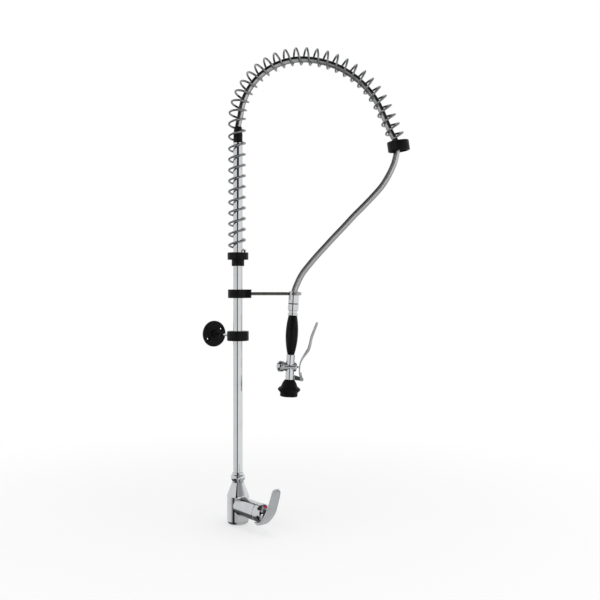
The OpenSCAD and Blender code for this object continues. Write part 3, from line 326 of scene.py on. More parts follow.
def hose_finish(name, dim_tone, shade_from, shade_to):
    """A wound steel sheath, with shade painted darker on its outer side and a little along its inner line."""
    made = Finish(name, (0.5, 0.5, 0.48), 0.28, 0.9)
    turns_per_cm = 4.0
    run = made.split(made.node("ShaderNodeUVMap", uv_map="run").outputs["UV"])
    winding = made.maths("ADD", made.maths("MULTIPLY", run["Y"], turns_per_cm), run["X"])
    wave = made.maths("SINE", made.maths("MULTIPLY", winding, 2 * math.pi))
    made.bump(made.spread(wave, 0, 1, -1, 1), 0.0001, 0.015)
    facing = made.maths("COSINE", made.maths("MULTIPLY", run["X"], 2 * math.pi))
    # Painted shade: the outer side, and faintly the inner line, are painted darker.
    painted_shade = made.maths("MAXIMUM", made.spread(facing, 0, 1, shade_from, shade_to),
                        made.spread(facing, 0.6, 0, -0.95, -0.7))
    painted_shade = made.maths("ADD", painted_shade, made.spread(made.noise(90), -0.05, 0.05))
    made.colour(made.tint(painted_shade, (0.5, 0.49, 0.48), (dim_tone, dim_tone, dim_tone)))
    made.rough(made.spread(made.noise(260, 4), 0.22, 0.3))
    return made.made


sheath = hose_finish("hose_sheath", 0.08, 0.1, 0.45)
# The arch's length has more painted shade, darker and wider round, for the spring's shadow over it.
sheath_shaded = hose_finish("hose_sheath_shaded", 0.02, -0.2, 0.15)

drop_route = [
    (365.2, 866.5), (365.2, 858), (364.5, 850), (361.5, 836), (357, 822), (346, 799), (331, 775), (311, 752),
    (288, 728), (265, 705), (243, 681), (221, 658), (199, 634), (178, 611), (158, 587), (149, 575),
    (142, 563), (136, 550), (132, 540), (129.4, 531), (128.5, 524)]
drop_line = [(x * mm, 0, z * mm) for x, z in smooth_line(drop_route, 8)]
hose_radius, hose_sides = 7, 32
drop_hose = tube_along("drop_hose_sheath", drop_line, hose_radius * mm, hose_sides, (-1, 0, 0))
drop_hose.data.materials.append(sheath)
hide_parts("drop_hose")
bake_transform(drop_hose)

# The arch: the hose's other length, from the sleeve on the riser's top to the end collar. The middle line
# that it keeps near rises straight, turns over a tight left bow, and falls along a wider right bow.
arch_x, arch_z = -2.0, 923.9
collar_top = 622.2
left_bow, right_bow = 149.2, 207.0
fall_lean = math.radians(66.7)
rise = arch_z - collar_top
left_run, right_run, tail_run = left_bow * math.pi / 2, right_bow * fall_lean, 75.6
arch_run = rise + left_run + right_run + tail_run
top_x = arch_x + left_bow
bow_low = arch_z + left_bow - right_bow


def arch_lean(u):
    if u < rise:
        return 0.0
    if u < rise + left_run:
        return (u - rise) / left_bow
    return math.pi / 2 + min((u - rise - left_run) / right_bow, fall_lean)


def arch_point(u, inward=0.0):
    lean = arch_lean(u)
    if u < rise:
        x, z = arch_x, collar_top + u
    elif u < rise + left_run:
        x, z = top_x - left_bow * math.cos(lean), arch_z + left_bow * math.sin(lean)
    else:
        x, z = top_x - right_bow * math.cos(lean), bow_low + right_bow * math.sin(lean)
        beyond = max(u - rise - left_run - right_run, 0)
        x, z = x + beyond * math.sin(lean), z + beyond * math.cos(lean)
    return x + inward * math.cos(lean), z - inward * math.sin(lean)


hose_route = [(0, 892), (0, 902), (0.2, 911), (1.6, 920), (3.9, 930)]
hose_route += [arch_point(u, hose_radius) for u in range(int(rise) + 16, int(arch_run) - 21, 11)]
hose_route += [(362, 879), (364.2, 873), (365.2, 868.5), (365.2, 866.5)]
arch_hose = tube_along("arch_hose_sheath", [(x * mm, 0, z * mm) for x, z in smooth_line(hose_route, 3)],
                       hose_radius * mm, hose_sides, (-1, 0, 0))
arch_hose.data.materials.append(sheath_shaded)
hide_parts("arch_hose")
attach(arch_hose, "riser")

# The arch spring: one length of plated steel wire, wound open and a little wider over the hose's sleeve. Its
# cut ends rest on the spring collar and on the end collar.
coil_radius, wire_radius = 18.5, 2.5
pitch_low, pitch_sleeve, pitch_arch = 24.6, 29.0, 22.6
sleeve_from = rise - 2 * pitch_sleeve
wire_rest = wire_radius + 0.2


def turns_at(u):
    if u < sleeve_from:
        return u / pitch_low
    if u < rise:
        return sleeve_from / pitch_low + (u - sleeve_from) / pitch_sleeve
    return sleeve_from / pitch_low + 2 + (u - rise) / pitch_arch


def length_at(n):
    low = sleeve_from / pitch_low
    if n < low:
        return n * pitch_low
    if n < low + 2:
        return sleeve_from + (n - low) * pitch_sleeve
    return rise + (n - low - 2) * pitch_arch


def coil_point(n):
    u = length_at(n)
    x, z = arch_point(u)
    lean, turned = arch_lean(u), 2 * math.pi * n - math.pi / 3
    out = coil_radius * math.cos(turned)
    return Vector((x + out * math.cos(lean), coil_radius * math.sin(turned), z - out * math.sin(lean)))


collar_tilt = math.radians(8)
collar_axis = Vector((math.sin(collar_tilt), 0, -math.cos(collar_tilt)))
end_x, end_z = arch_point(arch_run)
collar_face = Vector((end_x, 0, end_z))
coil_from = wire_rest / pitch_low
coil_to = turns_at(arch_run - coil_radius)
while (collar_face - coil_point(coil_to)).dot(collar_axis) > wire_rest:
    coil_to += 1 / 128
coil_steps = 1500
coil = [coil_point(coil_from + (coil_to - coil_from) * i / coil_steps) * mm for i in range(coil_steps + 1)]
spring = tube_along("arch_spring_wire", coil, wire_radius * mm, 16)


def chrome_finish(name, tone=(0.63, 0.635, 0.64), rough=0.06):
    """Bright plating: faint polishing haze, dried water spots and a very slight unevenness."""
    made = Finish(name, tone, rough, 1.0)
    haze = made.noise(38, 4)
    spots = made.noise(420, 2)
    dim_tone = tuple(0.93 * c for c in tone)
    made.colour(made.tint(made.spread(haze, 0, 1, 0.35, 0.75), tone, dim_tone))
    made.rough(made.maths("ADD", made.spread(haze, rough * 0.7, rough * 1.4),
                          made.spread(spots, 0, 0.09, 0.66, 0.72)))
    made.bump(made.noise(14, 2), 0.0006, 0.12)
    return made.made


plated_wire = chrome_finish("plated_wire", (0.34, 0.343, 0.35), 0.1)
spring.data.materials.append(plated_wire)
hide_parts("arch_spring")
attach(spring, "riser")


# The riser: a 22 mm brass tube, drawn and chromed. It stands in the mixer, held by the union nut, and carries
# the spring collar and the hose's sleeve.
def lathe(name, outline, sides=96):
    """Turns a piece about +Z. The outline is (radius, height) pairs in mm, and a radius of 0 closes it."""
    bpy.ops.object.select_all(action="DESELECT")
    least = 0.001
    radius, height = outline[0]
    bpy.ops.mesh.primitive_circle_add(vertices=sides, radius=max(radius, least) * mm, location=(0, 0, 0))
    piece = bpy.context.object
    piece.name = name
    bpy.ops.object.mode_set(mode="EDIT")
    bpy.ops.mesh.select_all(action="SELECT")
    bpy.ops.transform.translate(value=(0, 0, height * mm))
    for next_radius, next_height in outline[1:]:
        bpy.ops.mesh.extrude_edges_move(TRANSFORM_OT_translate={"value": (0, 0, (next_height - height) * mm)})
        grow = max(next_radius, least) / max(radius, least)
        bpy.ops.transform.resize(value=(grow, grow, 1), center_override=(0, 0, next_height * mm))
        radius, height = next_radius, next_height
    bpy.ops.mesh.select_all(action="SELECT")
    bpy.ops.mesh.remove_doubles(threshold=0.000008)
    bpy.ops.mesh.normals_make_consistent(inside=False)
    bpy.ops.object.mode_set(mode="OBJECT")
    return piece


def soften(piece, width, segments=3, angle=28):
    """Breaks a piece's edges that are sharper than the angle, by a width in mm, and shades it smooth."""
    pick(piece)
    if width:
        edge = piece.modifiers.new("broken_edge", "BEVEL")
        edge.width = width * mm
        edge.segments = segments
        edge.limit_method = "ANGLE"
        edge.angle_limit = math.radians(angle)
        bpy.ops.object.modifier_apply(modifier="broken_edge")
    bpy.ops.object.shade_smooth_by_angle(angle=math.radians(38))
    if width:
        piece.modifiers.new("even_normals", "WEIGHTED_NORMAL").keep_sharp = True
        bpy.ops.object.modifier_apply(modifier="even_normals")
    return piece


def fit(piece, place, finish, slot_name, body, *nodes):
    """Moves a piece to its place, gives it its finish and lets it stand for CAD nodes of a body."""
    pick(piece)
    piece.matrix_world = place
    bpy.ops.object.transform_apply(location=True, rotation=True, scale=True)
    piece.data.materials.clear()
    piece.data.materials.append(finish)
    if nodes:
        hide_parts(*nodes)
    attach(piece, body)
    return piece


def upright(z=0.0):
    return Matrix.Translation((0, 0, z * mm))


chrome = chrome_finish("chrome_plate")
cone_top = 96.0
riser_low, riser_top = cone_top + 11.6, 874.0
riser_bore, riser_radius = 9.5, 11
riser = lathe("riser_pipe", [
    (riser_bore, riser_low), (riser_radius, riser_low), (riser_radius, riser_top), (riser_bore, riser_top),
    (riser_bore, riser_low)])
fit(soften(riser, 0.3), upright(), chrome, "chrome", "riser", "riser_tube")


# The union nut: a bulged ring nut, turned from brass and chromed. It's screwed down over the riser's foot on
# the mixer's cone.
def arc(radius, height, wide, tall, angles):
    """Points round a centre at a radius and a height, wide across and tall up, at angles in degrees."""
    return [(radius + wide * math.cos(math.radians(a)), height + tall * math.sin(math.radians(a)))
            for a in angles]


on_riser = riser_radius + 0.1
nut_low, nut_top = cone_top + 0.1, cone_top + 22
nut_line = [(on_riser, nut_low + 0.4), (13.3, nut_low)]
nut_line += arc(11.5, cone_top + 9.9, 5, 7.92, range(-65, 66, 10))
nut_line += [(12.3, nut_top - 0.4), (on_riser, nut_top), (on_riser, nut_low + 0.4)]
fit(soften(lathe("union_nut_shell", nut_line), 0.35), upright(), chrome, "chrome", "mixer", "union_nut")


# The spring collar and the end collar: two plain rings of moulded black plastic. The first is screwed to the
# riser and carries the spring, and the second closes the arch where the hose comes out.
def black_finish(name, tone=(0.0025, 0.0025, 0.0025), rough=0.36, grain=900.0):
    """Moulded black plastic or rubber: a fine grain, a slight bloom and some rubbed patches."""
    made = Finish(name, tone, rough)
    made.shader.inputs["Specular IOR Level"].default_value = 0.12
    patches = made.noise(60, 4)
    made.colour(made.tint(made.spread(patches, 0, 1), tone, tuple(c * 1.9 for c in tone)))
    made.rough(made.spread(made.noise(130, 5), rough - 0.09, rough + 0.1))
    made.bump(made.noise(grain, 2), 0.0001, 0.25)
    return made.made


black_plastic = black_finish("black_moulding")
collar_flange, collar_hub = 16.8, 14.4
hub_low = collar_top - collar_flange - collar_hub
collar = lathe("spring_collar_ring", [
    (on_riser, hub_low), (14.5, hub_low), (14.5, hub_low + collar_hub), (24, hub_low + collar_hub),
    (24, collar_top), (on_riser, collar_top), (on_riser, hub_low)])
fit(soften(collar, 1.3, 4), upright(), black_plastic, "black_plastic", "riser", "spring_collar")
collar = lathe("end_collar_ring", [
    (13.5, 0), (25.25, 0), (25.25, 24), (20, 24), (20, 17), (13.5, 17), (13.5, 0)])
end_place = Matrix.Translation(collar_face * mm) @ Matrix.Rotation(math.pi - collar_tilt, 4, "Y")
fit(soften(collar, 2.6, 5), end_place, black_plastic, "black_plastic", "riser", "end_collar")

# The hose sleeve: a tapered black plastic cuff, pushed over the hose's lower end, which stands on the riser's
# top.
sleeve_low, sleeve_top = riser_top + 0.1, 911
on_hose = hose_radius + 0.3
sleeve = lathe("hose_cuff", [
    (on_hose, sleeve_low), (10.5, sleeve_low), (10.5, 893), (10.1, 897), (8.7, sleeve_top),
    (on_hose, sleeve_top), (on_hose, sleeve_low)])
fit(soften(sleeve, 0.6, 3, 20), upright(), black_plastic, "black_plastic", "riser", "hose_sleeve")


# The mixer body: one chromed brass casting with a cone on top and a round cartridge housing to the front
# right. It's held to the deck by a stud, and two hoses are screwed in from below.
def melt(piece, others, grid, rounds):
    """Joins closed forms to one casting on a grid in mm, and smooths it, so that its corners are soft."""
    pick(piece, *others)
    if others:
        bpy.ops.object.join()
    skin = piece.modifiers.new("casting", "REMESH")
    skin.mode = "VOXEL"
    skin.voxel_size = grid * mm
    bpy.ops.object.modifier_apply(modifier="casting")
    polish = piece.modifiers.new("polish", "SMOOTH")
    polish.factor = 0.5
    polish.iterations = rounds
    bpy.ops.object.modifier_apply(modifier="polish")
    return piece


def combine(piece, form, operation="DIFFERENCE"):
    """Cuts a form out of a piece, or adds it with UNION, and throws the form away."""
    pick(piece)
    change = piece.modifiers.new("change", "BOOLEAN")
    change.operation = operation
    change.solver = "EXACT"
    change.object = form
    bpy.ops.object.modifier_apply(modifier="change")
    bpy.data.objects.remove(form)
    return piece


def set_down(piece, place):
    """Moves a half made piece to its place, so that others can be joined to it or cut from it."""
    pick(piece)
    piece.matrix_world = place
    bpy.ops.object.transform_apply(location=True, rotation=True, scale=True)
    return piece


housing_turn, housing_z = -52.5, 43
facing = Matrix.Rotation(math.radians(housing_turn), 4, "Z")
housing = upright(housing_z) @ facing
lying = Matrix.Rotation(math.pi / 2, 4, "Y")
housing_radius, housing_end, dome_centre = 21, 86.0, 74
body_radius, foot_bend, foot_z, shoulder_z = 25, 8, 0.05, 66
body_line = [(0, foot_z)]
body_line += arc(body_radius - foot_bend, foot_z + foot_bend, foot_bend, foot_bend, range(-90, 1, 10))
body_line += [(body_radius, shoulder_z), (13.5, cone_top), (0, cone_top)]
body = lathe("mixer_casting", body_line)
arm = lathe("housing_form", [(0, 0), (housing_radius, 0), (housing_radius, housing_end), (0, housing_end)])
body = melt(body, [set_down(arm, housing @ lying)], 0.7, 8)
cartridge_bore = lathe("bore", [(0, dome_centre), (18.3, dome_centre), (18.3, 95), (0, 95)])
combine(body, set_down(cartridge_bore, housing @ lying))
cut_from = -2
for side in (-1, 1):
    inlet = lathe("bore", [(0, cut_from), (5, cut_from), (5, 16), (0, 16)], 48)
    combine(body, set_down(inlet, facing @ Matrix.Translation((0, side * 8.5 * mm, 0))))
stud_hole = lathe("bore", [(0, cut_from), (4, cut_from), (4, 18), (0, 18)], 48)
combine(body, set_down(stud_hole, facing @ Matrix.Translation((-10 * mm, 0, 0))))
fit(soften(body, 0), upright(), chrome, "chrome", "mixer", "mixer_body")

# The dome under the lever: a thin cap, pressed from brass and chromed. It's pushed into the housing's end and
# hides the cartridge as the lever tilts.
dome_radius = 20.5
dome_line = [(12.5, 90.2)] + arc(0, dome_centre, dome_radius, dome_radius, range(50, 22, -4))
dome = lathe("cartridge_dome", dome_line + [(17.6, 81), (12.5, 88)])
fit(soften(dome, 0.2), housing @ lying, chrome, "chrome", "mixer", "cartridge_cover")


# The lever: one chromed zinc casting, a domed hub whose underside runs out to a broad paddle that curls up.
# A grub screw through the hub's side holds it on the cartridge's stem.
def face_out(piece):
    """Turns all faces of a closed piece outwards."""
    pick(piece)
    bpy.ops.object.mode_set(mode="EDIT")
    bpy.ops.mesh.select_all(action="SELECT")
    bpy.ops.mesh.normals_make_consistent(inside=False)
    bpy.ops.object.mode_set(mode="OBJECT")


def slice_off(piece, place, outward):
    """Takes away what lies beyond a plane and closes the cut."""
    pick(piece)
    bpy.ops.object.mode_set(mode="EDIT")
    bpy.ops.mesh.select_all(action="SELECT")
    bpy.ops.mesh.bisect(plane_co=place, plane_no=outward, use_fill=True, clear_outer=True)
    bpy.ops.object.mode_set(mode="OBJECT")


def bent_plate(name, line, width_at, thickness, crown_at):
    """A plate along a line of (x, z) in mm, with a width and a crown at each share of its length."""
    across, fine = 8, 6
    route = smooth_line(line, fine)
    rows, columns = len(route), across + 1
    bpy.ops.object.select_all(action="DESELECT")
    bpy.ops.mesh.primitive_grid_add(x_subdivisions=across, y_subdivisions=rows - 1, size=1)
    plate = bpy.context.object
    plate.name = name
    run = [0.0]
    for a, b in zip(route, route[1:]):
        run.append(run[-1] + math.dist(a, b))
    order = sorted(range(len(plate.data.vertices)),
                   key=lambda i: (round(plate.data.vertices[i].co.y, 5), plate.data.vertices[i].co.x))
    for rank, index in enumerate(order):
        row, column = divmod(rank, columns)
        ahead = Vector(route[min(row + 1, rows - 1)]) - Vector(route[max(row - 1, 0)])
        ahead.normalize()
        share = 2 * column / across - 1
        rise = -crown_at(run[row] / run[-1]) * share * share
        x, z = route[row]
        plate.data.vertices[index].co = (
            (x + rise * ahead[1]) * mm, share * width_at(run[row] / run[-1]) / 2 * mm,
            (z - rise * ahead[0]) * mm)
    wall = plate.modifiers.new("wall", "SOLIDIFY")
    wall.thickness = thickness * mm
    wall.offset = 0
    bpy.ops.object.modifier_apply(modifier="wall")
    face_out(plate)
    return plate


hub_back, hub_front, hub_radius, hub_bulge = 88.0, 98.0, 22, 19
hub_line = [(0, hub_back), (hub_radius, hub_back)]
hub_line += arc(0, hub_front, hub_radius, hub_bulge, range(0, 90, 6)) + [(0, hub_front + hub_bulge)]
hub = set_down(lathe("mixer_lever_casting", hub_line), lying)
# The hub's back leans, so that the lever can be lifted without meeting the housing.
lean = math.radians(20)
slice_off(hub, (hub_back * mm, 0, 0), (-math.cos(lean), 0, -math.sin(lean)))
paddle_line = [(80, -23.8), (90, -24.2), (99, -22.8), (113, -12), (128.5, 5), (137, 22), (143, 36),
               (147.5, 47), (150, 57), (151, 64)]


def paddle_width(share):
    tip = max(share - 0.89, 0) / 0.11
    return (23 + 3 * math.sin(math.pi * min(share / 0.9, 1))) * math.sqrt(max(1 - tip ** 2.4 * 0.85, 0.02))


paddle = bent_plate("paddle_form", paddle_line, paddle_width, 4.2, lambda share: 1.2)
# The paddle's root is cut off along the hub's underside.
slice_off(paddle, (80 * mm, 0, -21.9 * mm), (-0.33, 0, -0.944))
lever = melt(hub, [paddle], 0.55, 10)
# The lever is hollow over the dome, and its screw's hole is at the side.
bpy.ops.object.select_all(action="DESELECT")
bpy.ops.mesh.primitive_uv_sphere_add(segments=96, ring_count=48, radius=(dome_radius + 0.7) * mm,
                                     location=(dome_centre * mm, 0, 0))
combine(lever, bpy.context.object)
screw_hole = lathe("bore", [(0, 12), (2.6, 12), (2.6, 30), (0, 30)], 32)
sideways = Matrix.Rotation(-math.pi / 2, 4, "X")
combine(lever, set_down(screw_hole, Matrix.Translation((100 * mm, 0, 0)) @ sideways))
fit(soften(lever, 0), housing, chrome, "chrome", "lever", "mixer_lever")

# The index marks: two half round plugs of enamelled plastic, red for hot and blue for cold, pressed into one
# round pocket in the hub's dome.
red_enamel = Finish("hot_enamel", (0.5, 0.006, 0.05), 0.2)
blue_enamel = Finish("cold_enamel", (0.02, 0.01, 0.05), 0.2)
for enamel in (red_enamel, blue_enamel):
    enamel.rough(enamel.spread(enamel.noise(300, 3), 0.15, 0.28))
    enamel.bump(enamel.noise(800, 2), 0.0001, 0.15)
mark_share, mark_turn, mark_radius, mark_gap = math.radians(35), math.radians(55), 4.8, 0.05
mark_slope = math.atan(hub_radius / hub_bulge * math.tan(mark_share))
mark_place = (housing @ Matrix.Translation(((hub_front + hub_bulge * math.sin(mark_share)) * mm, 0,
                                            hub_radius * math.cos(mark_share) * mm))
              @ Matrix.Rotation(mark_slope, 4, "Y") @ Matrix.Rotation(mark_turn, 4, "Z"))
for node, side, enamel, slot_name in (("hot_mark", -1, red_enamel, "red_plastic"),
                                      ("cold_mark", 1, blue_enamel, "blue_plastic")):
    half = lathe(node + "_plug", [
        (0, -1.2), (mark_radius, -1.2), (mark_radius, -0.3), (mark_radius - 0.5, 0), (2.6, 0.3),
        (0, 0.4)], 64)
    slice_off(half, (0, side * mark_gap * mm, 0), (0, -side, 0))
    fit(soften(half, 0), mark_place, enamel.made, slot_name, "lever", node)

# The hook: a moulded black clamp on the riser holds a drawn steel rod, whose end is forged to an open ring
# for the gun's nut. A grub screw keeps the clamp at its height.
hook_z = 527.4
clamp_half = 9.75
clamp = lathe("hook_clamp_ring", [
    (on_riser, -clamp_half), (23, -clamp_half), (23, clamp_half), (on_riser, clamp_half),
    (on_riser, -clamp_half)])
bpy.ops.object.select_all(action="DESELECT")
bpy.ops.mesh.primitive_cube_add(size=1, location=(21.3 * mm, 0, 0))
boss = bpy.context.object
boss.dimensions = (18.6 * mm, 20 * mm, 2 * clamp_half * mm)
bpy.ops.object.transform_apply(location=True, rotation=True, scale=True)
combine(clamp, boss, "UNION")
fit(soften(clamp, 0.9, 3, 40), upright(hook_z), black_plastic, "black_plastic", "hook", "hook_clamp")

rod_steel = Finish("drawn_rod_steel", (0.3, 0.3, 0.3), 0.25, 1.0)
drawn_mark = rod_steel.noise(700, 3)
# The rod is darker, and its ring is painted lighter as a highlight.
ring_highlight = rod_steel.spread(rod_steel.split(rod_steel.place)["X"], 0, 1, 0.13, 0.138)
rod_steel.colour(rod_steel.tint(ring_highlight, (0.19, 0.185, 0.17), (0.36, 0.36, 0.36)))
rod_steel.rough(rod_steel.spread(drawn_mark, 0.2, 0.34))
rod_steel.bump(drawn_mark, 0.00005, 0.08)
ring_centre_x, ring_inner, ring_wall, ring_tall = 128.6, 13.1, 4.3, 7.0
ring_middle = ring_inner + ring_wall / 2
gap_half = math.asin((14 + ring_wall + 1) / 2 / ring_middle)
gap_middle = math.radians(135)
rod = tube_along("hook_rod_bar", [(x * mm, 0, 0) for x in (15, 60, 90, ring_centre_x - ring_middle)],
                 3.75 * mm, 40)
bpy.ops.object.select_all(action="DESELECT")
bpy.ops.mesh.primitive_plane_add(size=1, rotation=(math.pi / 2, 0, 0))
band = bpy.context.object
band.dimensions = (ring_wall * mm, ring_tall * mm, 0)
band.location = (ring_middle * mm, 0, 0)
bpy.ops.object.transform_apply(location=True, rotation=True, scale=True)
bpy.ops.object.mode_set(mode="EDIT")
bpy.ops.mesh.select_all(action="SELECT")
bpy.ops.mesh.spin(steps=72, angle=2 * math.pi - 2 * gap_half, center=(0, 0, 0), axis=(0, 0, 1))
bpy.ops.object.mode_set(mode="OBJECT")
face_out(band)
ring_turn = Matrix.Rotation(gap_middle + gap_half, 4, "Z")
set_down(band, Matrix.Translation((ring_centre_x * mm, 0, 0)) @ ring_turn)
soften(band, 1.0, 3)
rod = melt(rod, [band], 0.4, 12)
fit(soften(rod, 0), upright(hook_z), rod_steel.made, "chrome", "hook", "hook_rod")

# The wall bracket: a moulded black ring on the riser, a thin chromed rod that is screwed into it, and a
# moulded black disc that two screws hold to the wall.
bracket_z, ring_half = 430.5, 11
backward = upright(bracket_z) @ Matrix.Rotation(math.radians(180 + housing_turn), 4, "Z")
ring = lathe("bracket_collar", [
    (11.15, -ring_half), (25, -ring_half), (25, ring_half), (11.15, ring_half), (11.15, -ring_half)])
fit(soften(ring, 1.8, 4), backward, black_plastic, "black_plastic", "bracket", "bracket_ring")
thin_rod = lathe("bracket_bar", [(0, 14), (3, 14), (3, 102), (0, 102)], 48)
fit(soften(thin_rod, 0.3), backward @ lying, chrome, "chrome", "bracket", "bracket_rod")
bush_front, disc_front, disc_back, disc_radius = 92.6, 98.5, 105.4, 31
disc = lathe("wall_disc", [
    (3.1, bush_front), (7.6, bush_front), (8.4, 93.2), (9, disc_front), (27.5, disc_front), (29.3, 99.2),
    (30.6, 100.6), (disc_radius, 102.5), (disc_radius, disc_back), (3.1, disc_back), (3.1, bush_front)])
disc = set_down(soften(disc, 0.5), lying)
hole_turn, hole_out, screw_radius, head_radius = 148, 21.5, 2.4, 4.2
for half_turn in (0, 180):
    round_disc = Matrix.Rotation(math.radians(half_turn + hole_turn), 4, "X")
    hole = lathe("bore", [
        (0, 92), (head_radius, 92), (head_radius, 99.6), (screw_radius, 101.4), (screw_radius, 111),
        (0, 111)], 32)
    combine(disc, set_down(hole, round_disc @ Matrix.Translation((0, hole_out * mm, 0)) @ lying))
fit(soften(disc, 0), backward, black_plastic, "black_plastic", "flange", "wall_flange")

# The gun's upper end: the hose nut, the swivel sleeve and a ring above the grip, turned from brass and
# chromed. They stand on one axis that leans a little, and a clip lets the sleeve turn in the nut.
gun_lean = math.radians(2.9)
gun = Matrix.Translation((ring_centre_x * mm, 0, hook_z * mm)) @ Matrix.Rotation(gun_lean, 4, "Y")
hose_nut_top, hose_nut_low = 5.3, -22.4
hose_nut = lathe("hose_nut_shell", [
    (7.5, hose_nut_top - 6), (10.6, hose_nut_top), (12.2, hose_nut_top), (12.2, hose_nut_low),
    (7.5, hose_nut_low), (7.5, hose_nut_top - 6)])
fit(soften(hose_nut, 0.7, 3), gun, chrome, "chrome", "hose_end", "hose_nut")
swivel_top, swivel_low, bore = -23.7, -38.7, 6.1
swivel = lathe("swivel_shell", [
    (bore, swivel_low), (12.5, swivel_low), (12.5, swivel_top), (bore, swivel_top), (bore, swivel_low)])
fit(soften(swivel, 0.8, 3), gun, chrome, "chrome", "gun", "swivel_sleeve")
grip_top = -49.7
neck = lathe("grip_ring_band", [
    (bore, grip_top), (12, grip_top), (12, grip_top + 4), (10.2, grip_top + 4), (10.2, grip_top + 11),
    (bore, grip_top + 11), (bore, grip_top)])
fit(soften(neck, 0.5, 3), gun, chrome, "chrome", "gun", "grip_ring")

# The grip: a barrel of satin black rubber, moulded over the handle's tube and widest a little over its
# middle.
grip_low, grip_run, wide_at, widest = -139.7, 90.0, 0.53, 14.35


def grip_radius(share):
    if share < wide_at:
        return widest - 6.35 * ((wide_at - share) / wide_at) ** 2
    return widest - 4.6 * ((share - wide_at) / (1 - wide_at)) ** 2


grip_steps = 30
grip_line = [(grip_radius(i / grip_steps), grip_low + grip_run * i / grip_steps)
             for i in range(grip_steps + 1)]
grip = lathe("handle_barrel", [(bore, grip_low)] + grip_line + [(bore, grip_top), (bore, grip_low)])
grip_rubber = black_finish("grip_rubber", (0.002, 0.002, 0.002), 0.3, 1400)
fit(soften(grip, 0.8, 3, 40), gun, grip_rubber, "grip_rubber", "gun", "handle_grip")

# The valve body: an upright tube with a cross tube through it and a lug for the trigger's pin, all one
# chromed brass casting. Its domed cap is turned from brass and screwed on.
valve_low = grip_low - 58
cross_z = valve_low + 29.8
pivot_x, pivot_z = 28.0, valve_low + 2
valve_radius, lug_radius, lug_half = 10, 3.6, 2.5
tube = lathe("valve_casting", [
    (0, valve_low), (valve_radius, valve_low), (valve_radius, grip_low), (0, grip_low)])
cross_radius = 10.35
cross = lathe("cross_form", [
    (0, -19), (12.2, -19), (12.2, -15), (cross_radius, -15), (cross_radius, 14), (0, 14)])
set_down(cross, upright(cross_z) @ lying)
bpy.ops.object.select_all(action="DESELECT")
bpy.ops.mesh.primitive_cylinder_add(vertices=4, radius=1 * mm, depth=2 * lug_half * mm)
lug = bpy.context.object
# The four upright edges of this block become the lug's four corners, in their order round the block.
corners = [(0, 12), (pivot_x + 1.2, lug_radius), (pivot_x, -lug_radius), (0, -1.5)]
for v in lug.data.vertices:
    x, z = corners[int(round(math.degrees(math.atan2(v.co.y, v.co.x)) / 90)) % 4]
    v.co = (x * mm, math.copysign(lug_half * mm, v.co.z), (pivot_z + z) * mm)
face_out(lug)
boss = lathe("lug_boss", [(0, -lug_half), (lug_radius, -lug_half), (lug_radius, lug_half), (0, lug_half)], 48)
set_down(boss, Matrix.Translation((pivot_x * mm, 0, pivot_z * mm)) @ Matrix.Rotation(math.pi / 2, 4, "X"))
valve = melt(tube, [cross, lug, boss], 0.5, 12)
cast = Finish("plated_casting", (0.63, 0.635, 0.64), 0.07, 1.0)
# The lug and the low right side of the tube are painted dark, as shade, and made rougher.
lug_painted_shade = cast.maths("MULTIPLY", cast.spread(cast.split(cast.place)["X"], 0, 1, 0.1285, 0.1305),
                      cast.spread(cast.split(cast.place)["Z"], 1, 0, 0.349, 0.353))
haze = cast.noise(38, 4)
cast.colour(cast.tint(lug_painted_shade, (0.62, 0.625, 0.63), (0.09, 0.09, 0.09)))
cast.rough(cast.maths("ADD", cast.spread(haze, 0.05, 0.09), cast.maths("MULTIPLY", lug_painted_shade, 0.25)))
cast.bump(cast.noise(14, 2), 0.0004, 0.08)
fit(soften(valve, 0), gun, cast.made, "chrome", "gun", "valve_body")
cap_radius, cap_rim, cap_bulge = 13, 4, 9
cap_line = [(0, -1), (12.4, -1), (12.4, 0), (cap_radius, 0)]
cap_line += arc(0, cap_rim, cap_radius, cap_bulge, range(0, 90, 10)) + [(0, cap_rim + cap_bulge)]
cap = lathe("valve_cap_dome", cap_line)
cap_place = gun @ Matrix.Translation((-19 * mm, 0, cross_z * mm)) @ Matrix.Rotation(-math.pi / 2, 4, "Y")
fit(soften(cap, 0.5, 3), cap_place, chrome, "chrome", "gun", "valve_cap")

# The trigger: a strip of satin steel, bent out twice to reach along the grip. Its two ears hang it on a pin
# in the lug, and it presses the valve's stem.
trigger_line = [(-4.9, 9), (-5.7, 13), (-6.4, 20), (-6.2, 29), (-4.4, 39), (2, 51), (12.5, 66), (16.5, 79),
                (19.5, 97), (25, 115), (30.5, 132)]
strip = bent_plate("trigger_strip", trigger_line,
                   lambda share: 14 * math.sqrt(max(1 - (max(share - 0.95, 0) / 0.05) ** 2 * 0.75, 0.2)),
                   3.2, lambda share: 4.6 * min(max(share - 0.2, 0) / 0.25, 1) * (1.15 - 0.4 * share))
ear_radius, ear_thick, ear_out = 4.2, 2.2, 4
for side in (-1, 1):
    bpy.ops.object.select_all(action="DESELECT")
    bpy.ops.mesh.primitive_cylinder_add(vertices=48, radius=ear_radius * mm, depth=ear_thick * mm,
                                        location=(0, side * ear_out * mm, 0), rotation=(math.pi / 2, 0, 0))
    ear = bpy.context.object
    bpy.ops.object.transform_apply(location=True, rotation=True, scale=True)
    bpy.ops.mesh.primitive_cube_add(size=1)
    web = bpy.context.object
    web.dimensions = (6 * mm, ear_thick * mm, 16 * mm)
    web.location = (-2.6 * mm, side * ear_out * mm, 7.5 * mm)
    web.rotation_euler = (0, math.radians(-14), 0)
    bpy.ops.object.transform_apply(location=True, rotation=True, scale=True)
    pick(strip, ear, web)
    bpy.ops.object.join()
strip = melt(strip, [], 0.45, 12)
satin = Finish("satin_strip", (0.5, 0.5, 0.5), 0.35, 1.0)
drawn = satin.node("ShaderNodeMapping")
drawn.inputs["Scale"].default_value = (60, 900, 20)
satin.link(satin.place, drawn.inputs["Vector"])
satin.bump(satin.noise(3, 3, 0.6, drawn.outputs["Vector"]), 0.0001, 0.01)
